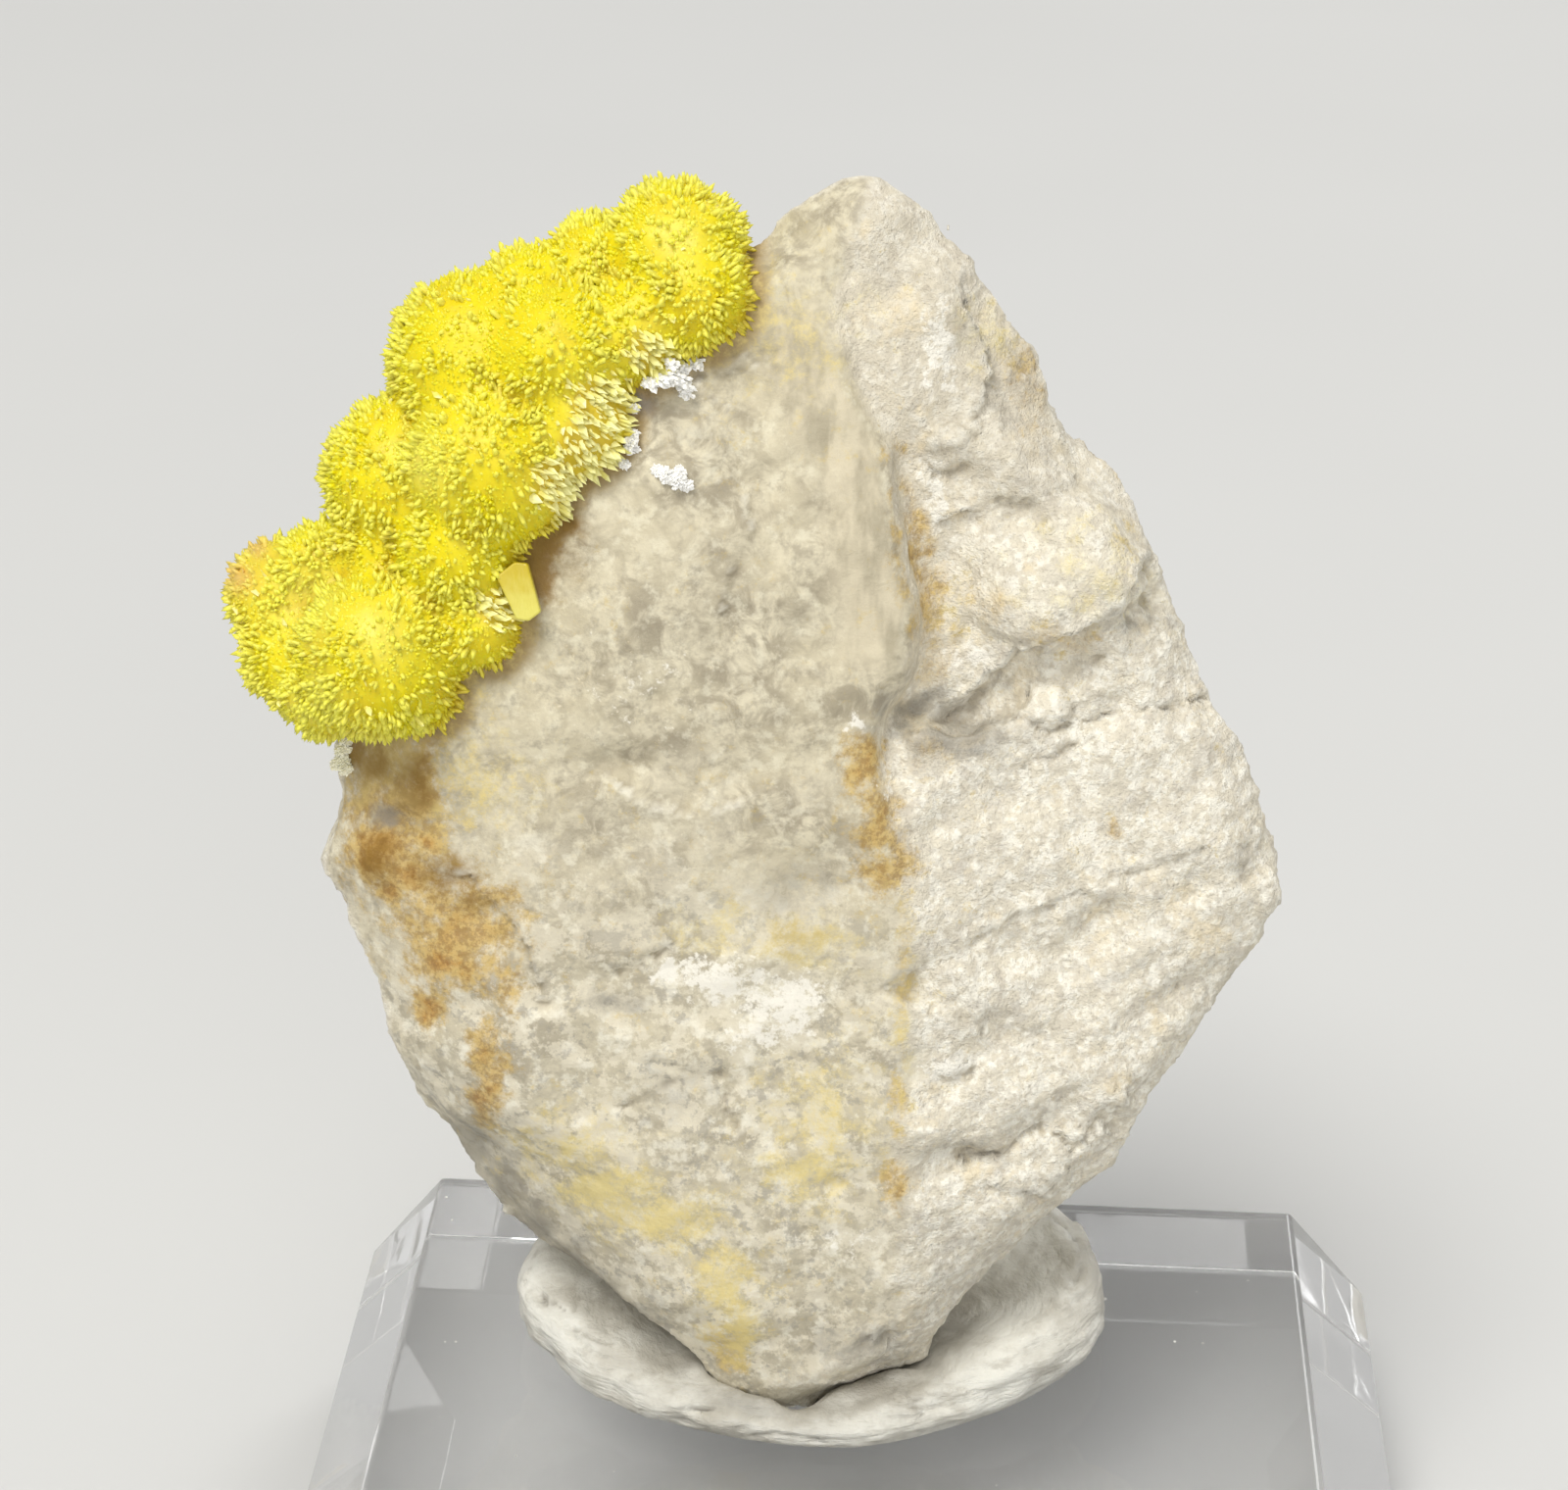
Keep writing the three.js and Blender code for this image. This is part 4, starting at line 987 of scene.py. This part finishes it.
def joined(parts):
    """Points and triangles of several shapes as one."""
    starts = np.cumsum([0] + [len(points) for points, _ in parts])
    triangles = [faces + start for (_, faces), start in zip(parts, starts)]
    return np.concatenate([points for points, _ in parts]), np.concatenate(triangles)


def melted_crust(lumps):
    """The lumps as one closed skin, melted together where they meet."""
    directions, triangles = even_ball(4)
    parts = [
        (middle + directions * (radius * lump_swell(directions, middle) + melt_loss)[:, None], triangles)
        for middle, radius in lumps
    ]
    skin = even_skin(*joined(parts), crust_voxel)
    skin.points = skin.blurred(skin.points, melt_rounds)
    skin.push(valley_fill * np.maximum(skin.sunk(valley_rounds), 0))
    skin.points = skin.blurred(skin.points, 3)
    return skin


def crust_masks(points, hollow, draw):
    """Tone, paleness, rust and painted hollow shade of the crust at some points."""
    tone = 1.3 * Noise(63).layers(points, 1.4, 3, 0.6) + draw.normal(scale=0.12, size=len(points))
    tone += 0.6 * patch_share(points, dusky_patches)
    return {
        "tone": tone,
        "pale": 0.6 * patch_share(points, pale_patches) + 0.5 * patch_share(points, blade_patches),
        "rusty": patch_share(points, rusty_patches),
        "hollow": hollow,
    }


def make_crust(rock_tree):
    draw = np.random.default_rng(71)
    yellow = crystal_finish(
        "yellow_crystal", srgb(232, 210, 12), srgb(234, 224, 18), srgb(244, 239, 84),
        srgb(240, 234, 140), srgb(232, 190, 112), srgb(224, 202, 20), srgb(208, 166, 14),
        Subsurface_Weight=0.2, Subsurface_Scale=0.0001, Subsurface_Radius=(1.0, 0.95, 0.3),
        Specular_IOR_Level=0.45,
    )
    mass = crystal_finish(
        "yellow_crystal_mass", srgb(232, 208, 12), srgb(236, 221, 16), srgb(244, 236, 70),
        srgb(240, 232, 130), srgb(232, 188, 108), srgb(224, 198, 18), srgb(200, 154, 12),
        Subsurface_Weight=0.4, Subsurface_Scale=0.0003, Subsurface_Radius=(1.0, 0.92, 0.25),
        Specular_IOR_Level=0.35,
    )
    bladed_yellow = crystal_finish(
        "pale_yellow_crystal", srgb(200, 160, 34), srgb(236, 226, 90), srgb(250, 247, 178),
        srgb(250, 245, 176), srgb(236, 178, 96), srgb(244, 230, 120), srgb(176, 132, 40),
        Specular_IOR_Level=0.5,
    )
    lumps = all_lumps()
    skin = melted_crust(lumps)
    # Painted shade: darker gold in the valleys between lumps, in the blade patches and where the crust meets the
    # rock
    hollow = smoothstep(0.1, 1.0, skin.sunk(24) / 0.13)
    hollow = np.maximum(hollow, 0.6 * smoothstep(0.35, 0.6, patch_share(skin.points, blade_patches)))
    normals = skin.normals()
    clear = np.array([
        -depth_in(rock_tree, site + normal * 0.05) for site, normal in zip(skin.points, normals)
    ])
    hollow = np.maximum(hollow, 0.6 * (1 - smoothstep(0.1, 0.8, clear)))
    body = Skin(skin.points - crystal_rise * normals, skin.quads)
    body.push(0.03 * Noise(62).layers(body.points, 0.35, 2))
    mesh = fill_mesh("crust_body", body.points, body.quads)
    masks = crust_masks(skin.points, hollow, draw)
    paint(mesh, masks | {"height": np.full(len(body.points), 0.45)})
    add_piece("crust_body", mesh, mass, ["crystal_crust"])

    shake = draw.uniform(-0.5, 0.5, skin.points.shape) * crust_voxel
    shake -= np.sum(shake * normals, axis=1, keepdims=True) * normals
    sites = skin.points + shake
    bladed = patch_share(sites, blade_patches)
    chance = draw.random(len(sites))
    blade = chance < blade_share * smoothstep(0.1, 0.7, bladed) + 0.004
    clustered = smoothstep(-0.3, 0.5, Noise(64).layers(sites, 0.9, 2))
    smooth = patch_share(sites, smooth_patches)
    tall = ~blade & (chance < tall_share * (0.25 + 1.2 * clustered) * (1 - 0.8 * smooth))
    rise = draw.uniform(0.01, 0.11, len(sites)) - 0.1 * (bladed > 0.45)
    rise += 0.05 * Noise(65).layers(sites, 0.45, 2) + 0.07 * Noise(66).layers(sites, 1.1, 2)
    rise = np.maximum(rise, draw.uniform(0.0, 0.05, len(sites)) - 0.1 * (bladed > 0.45))
    rise += np.where(tall, draw.uniform(0.05, 0.27, len(sites)), 0)
    rise = np.where(blade, draw.uniform(0.05, 0.42, len(sites)), rise)
    free = clear > 0
    axes = unit(normals + outward(sites, lumps) + draw.normal(scale=0.4, size=normals.shape))
    axes[blade] = unit(axes[blade] + own_axes @ blade_aim)
    lengths = crystal_length + rise
    rooted = draw.random(len(sites)) < crystal_share
    halves = crystal_half * draw.uniform(0.7, 1.5, len(sites))
    halves = np.where(blade, 0.05 + 0.04 * draw.random(len(sites)) + 0.07 * draw.random(len(sites)) ** 6, halves)
    masks = crust_masks(sites, hollow, draw)
    flecks = draw.random(len(sites)) < 0.05
    masks["pale"] = np.clip(masks["pale"] + 0.6 * tall + 0.35 * blade + 0.6 * flecks, 0, 1)
    roots = sites - axes * crystal_length
    up = to_rock(sites)[:, 2]
    for name, low, high in (("upper", 28.3, 99), ("middle", 23.5, 28.3), ("lower", -99, 23.5)):
        bunch = Bunch()
        some = free & rooted & ~blade & (up > low) & (up <= high)
        bunch.grow(
            roots[some], axes[some], lengths[some], halves[some], 0.85, draw,
            {mask: values[some] for mask, values in masks.items()}, point=(1.0, 3.0),
        )
        piece = f"crust_crystals_{name}"
        add_piece(piece, bunch.mesh(piece), yellow, ["crystal_crust"])
    masks["hollow"] = np.zeros(len(sites))
    some = free & blade
    bunch = Bunch()
    bunch.grow(
        roots[some], axes[some], lengths[some], halves[some], 0.45, draw,
        {mask: values[some] for mask, values in masks.items()}, point=(1.0, 3.0),
        facing=towards_viewer, loose=0.5,
    )
    mesh = bunch.mesh("crust_blades")
    add_piece("crust_blades", mesh, bladed_yellow, ["crystal_crust"], smooth=False)
    return tree_of(skin)


def clump_bunch(name, clumps, trees, draw):
    """Small balls of stubby crystals on the rock or the crust, longest on the side that they lean to."""
    lean, aim, stub = spray_growth[name]
    aim = own_axes @ unit(np.array((aim,)))[0]
    bunch = Bunch()
    for across, up, out, radius in clumps:
        root, normal = on_skin(trees, across, up)
        radius = clump_swell * radius
        middle = root + normal * out
        count = int(6 * (radius / stub) ** 2)
        axes = even_directions(count, draw)
        lengths = radius * draw.uniform(0.8, 1.15, count) * (1 + lean * np.clip(axes @ aim, 0, 1))
        axes = unit(axes + 0.6 * lean * aim)
        halves = stub * draw.uniform(0.7, 1.3, count)
        masks = {"tone": draw.normal(scale=0.4, size=count)}
        roots = np.tile(middle, (count, 1))
        bunch.grow(roots, axes, lengths, halves, 0.8, draw, masks, taper=0.3)
    return bunch


def make_sprays(trees):
    draw = np.random.default_rng(81)
    white = crystal_finish(
        "white_crystal", srgb(244, 242, 234), srgb(255, 254, 250), srgb(255, 255, 255),
        srgb(255, 255, 255), srgb(230, 220, 180), srgb(250, 249, 244), srgb(236, 232, 220),
    )
    for name, clumps in white_clumps.items():
        mesh = clump_bunch(name, clumps, trees, draw).mesh(name)
        nodes = [white_nodes[name]] if name in white_nodes else []
        add_piece(name, mesh, white, nodes, smooth=False)
    cream = crystal_finish(
        "cream_crystal", srgb(242, 236, 200), srgb(254, 251, 228), srgb(255, 255, 246),
        srgb(255, 255, 255), srgb(230, 220, 180), srgb(248, 244, 220), srgb(224, 218, 180),
    )
    mesh = clump_bunch("cream_edge_spray", edge_clumps, trees, draw).mesh("cream_edge_spray")
    add_piece("cream_edge_spray", mesh, cream, ["edge_tuft"], smooth=False)


def softened(name, width, segments=3):
    """A copy of a CAD node's mesh, in millimetres, with its edges rounded to a width."""
    points, triangles = node_arrays(name)
    shape = bmesh.new()
    shape.from_mesh(fill_mesh(name + "_soft", points, triangles))
    bmesh.ops.remove_doubles(shape, verts=shape.verts, dist=0.01)
    bmesh.ops.dissolve_limit(shape, angle_limit=math.radians(2), verts=shape.verts, edges=shape.edges)
    bmesh.ops.bevel(
        shape, geom=list(shape.edges), offset=width, segments=segments, affect="EDGES", profile=0.5,
        clamp_overlap=True,
    )
    mesh = bpy.data.meshes.new(name + "_soft")
    shape.to_mesh(mesh)
    shape.free()
    return mesh


def make_block():
    block = add_piece(
        "acrylic_block", softened("display_block", 0.16), clear_finish(), ["display_block"]
    )
    block.data.set_sharp_from_angle(angle=math.radians(50))
    flat_first = block.modifiers.new("flat_first", "WEIGHTED_NORMAL")
    flat_first.keep_sharp = True
    flat_first.weight = 100


def make_tablet():
    mesh = softened("tabular_crystal", 0.05, 2)
    heights = np.array([vert.co.z for vert in mesh.vertices])
    paint(mesh, {"height": (heights - heights.min()) / np.ptp(heights)})
    add_piece("tabular_crystal_cut", mesh, tablet_finish(), ["tabular_crystal"], smooth=False)


def make_putty(rock_tree):
    points, triangles = node_arrays("putty")
    skin = even_skin(points, triangles, putty_voxel)
    skin.points = skin.blurred(skin.points, 8)
    low = points[:, 2].min()
    foot = smoothstep(low + 0.1, low + 0.5, skin.points[:, 2])
    gap = np.array([-depth_in(rock_tree, point) for point in skin.points])
    close = 1 - smoothstep(0.3, 0.75, gap)
    beside_rock = 1 - smoothstep(0.2, 1.9, gap)
    close *= smoothstep(-0.25, 0.35, Noise(54).layers(skin.points * (1, 1, 0.4), 2.6, 2))
    middle = (points.min(0) + points.max(0)) / 2
    angle = np.arctan2(skin.points[:, 1] - middle[1], skin.points[:, 0] - middle[0])
    wound = np.stack((4 * np.cos(angle), 4 * np.sin(angle), 2.2 * skin.points[:, 2]), axis=1)
    folds = Noise(51).layers(wound, 1.2, 3)
    creases = np.abs(Noise(52).layers(wound * (0.5, 0.5, 2.2), 1.3, 2, 0.5))
    flakes = smoothstep(0.42, 0.5, Noise(55).layers(wound, 0.9, 2))
    facing = np.sum(skin.normals()[:, :2] * unit(skin.points[:, :2] - middle[:2]), axis=1)
    outside = smoothstep(-0.35, 0.15, facing)
    rise = foot * (0.06 + 0.1 * outside) * folds
    folded = smoothstep(-0.1, 0.5, Noise(56).layers(wound, 2.2, 2))
    rise -= foot * (0.07 + 0.15 * outside) * folded * (1 - smoothstep(0.0, 0.16, creases))
    rise += foot * outside * 0.07 * flakes
    rise += foot * 0.012 * Noise(53).layers(skin.points, 0.5, 2)
    rise = rise * (1 - close) + np.minimum(gap - 0.02, 0.3) * close
    skin.push(skin.blurred(rise, 1, 0.4))
    mesh = fill_mesh("putty_pressed", skin.points, skin.quads)
    # Masks for painted shade in creases, and for painted shadow with some grime beside the rock
    paint(mesh, {"hollow": smoothstep(0.3, 1.6, skin.sunk(10) / 0.09), "beside_rock": beside_rock})
    add_piece("putty_pressed", mesh, putty_finish(), ["putty"])
    return skin


def make_dust(putty_skin):
    """Specks of dust on the top of the block."""
    draw = np.random.default_rng(95)
    low, high = (np.array(corner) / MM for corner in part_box("display_block"))
    putty_low, putty_high = putty_skin.points.min(0), putty_skin.points.max(0)
    ball, triangles = even_ball(1)
    parts = []
    half = (high[0] - low[0]) / 2 - 3.2
    for _ in range(dust_count):
        place = draw.uniform(-half, half, 2)
        inside = (place > putty_low[:2]) & (place < putty_high[:2])
        if inside.all():
            continue
        size = draw.uniform(0.02, 0.06) * np.array((1, draw.uniform(0.4, 1), draw.uniform(0.3, 0.7)))
        rough = ball * draw.uniform(0.7, 1.3, (len(ball), 1)) * size
        parts.append((rough + (place[0], place[1], high[2] + size[2]), triangles))
    mesh = fill_mesh("block_dust", *joined(parts))
    add_piece("block_dust", mesh, dust_finish(), smooth=False)


def make_floor():
    reach = 900.0
    corners = np.array([(-reach, -reach, 0), (reach, -reach, 0), (reach, reach, 0), (-reach, reach, 0)])
    mesh = fill_mesh("floor", (corners - (0, 0, 0.02)) * MM, np.array([[0, 1, 2, 3]]))
    finish = Finish("floor", Specular_IOR_Level=0.2)
    colour = finish.mix(srgb(208, 208, 206), srgb(212, 212, 210), finish.noise(30, 2, 0.5))
    mesh.materials.append(finish.wear(Base_Color=colour, Roughness=0.7))
    floor = bpy.data.objects.new("floor", mesh)
    bpy.context.scene.collection.objects.link(floor)


def add_light(name, place, aim, size, power, colour=(1, 1, 1)):
    """A square light at a place in millimetres, turned to a point, with its power in watts."""
    data = bpy.data.lights.new(name, "AREA")
    data.size = size * MM
    data.energy = power
    data.color = colour
    light = bpy.data.objects.new(name, data)
    light.location = Vector(place) * MM
    light.rotation_euler = (Vector(aim) - Vector(place)).to_track_quat("-Z", "Y").to_euler()
    bpy.context.scene.collection.objects.link(light)


def make_lights():
    world = bpy.data.worlds.new("studio")
    world.use_nodes = True
    world.node_tree.nodes["Background"].inputs["Color"].default_value = (1, 1, 1, 1)
    world.node_tree.nodes["Background"].inputs["Strength"].default_value = 0.4
    bpy.context.scene.world = world
    middle = (0, 2, 26)
    add_light("key", (-180, -306, 682), middle, 300, 4.0, (1, 0.985, 0.95))
    add_light("front_fill", (200, -766, 362), middle, 440, 1.76)
    add_light("back_rim", (280, 474, 402), middle, 280, 1.12)
    bpy.context.scene.view_settings.view_transform = "Standard"
    cycles = bpy.context.scene.cycles
    cycles.max_bounces = cycles.glossy_bounces = cycles.transmission_bounces = 32
    cycles.diffuse_bounces = 3


def make_camera():
    pitch, yaw, roll = (math.radians(a) for a in (camera_pitch, camera_yaw, camera_roll))
    turn = Matrix.Rotation(yaw, 4, "Z") @ Matrix.Rotation(math.pi / 2 - pitch, 4, "X")
    data = bpy.data.cameras.new("camera")
    data.sensor_width = camera_sensor
    data.lens = camera_lens
    data.clip_start = 0.001
    camera = bpy.data.objects.new("camera", data)
    camera.matrix_world = (
        Matrix.Translation(Vector(camera_place) * MM) @ turn @ Matrix.Rotation(roll, 4, "Z")
    )
    bpy.context.scene.collection.objects.link(camera)
    bpy.context.scene.camera = camera


make_camera()
make_floor()
make_lights()
rock_skin = make_rock()
rock_tree = tree_of(rock_skin)
crust_tree = make_crust(rock_tree)
make_sprays([rock_tree, crust_tree])
make_tablet()
make_putty_skin = make_putty(rock_tree)
make_block()
make_dust(make_putty_skin)
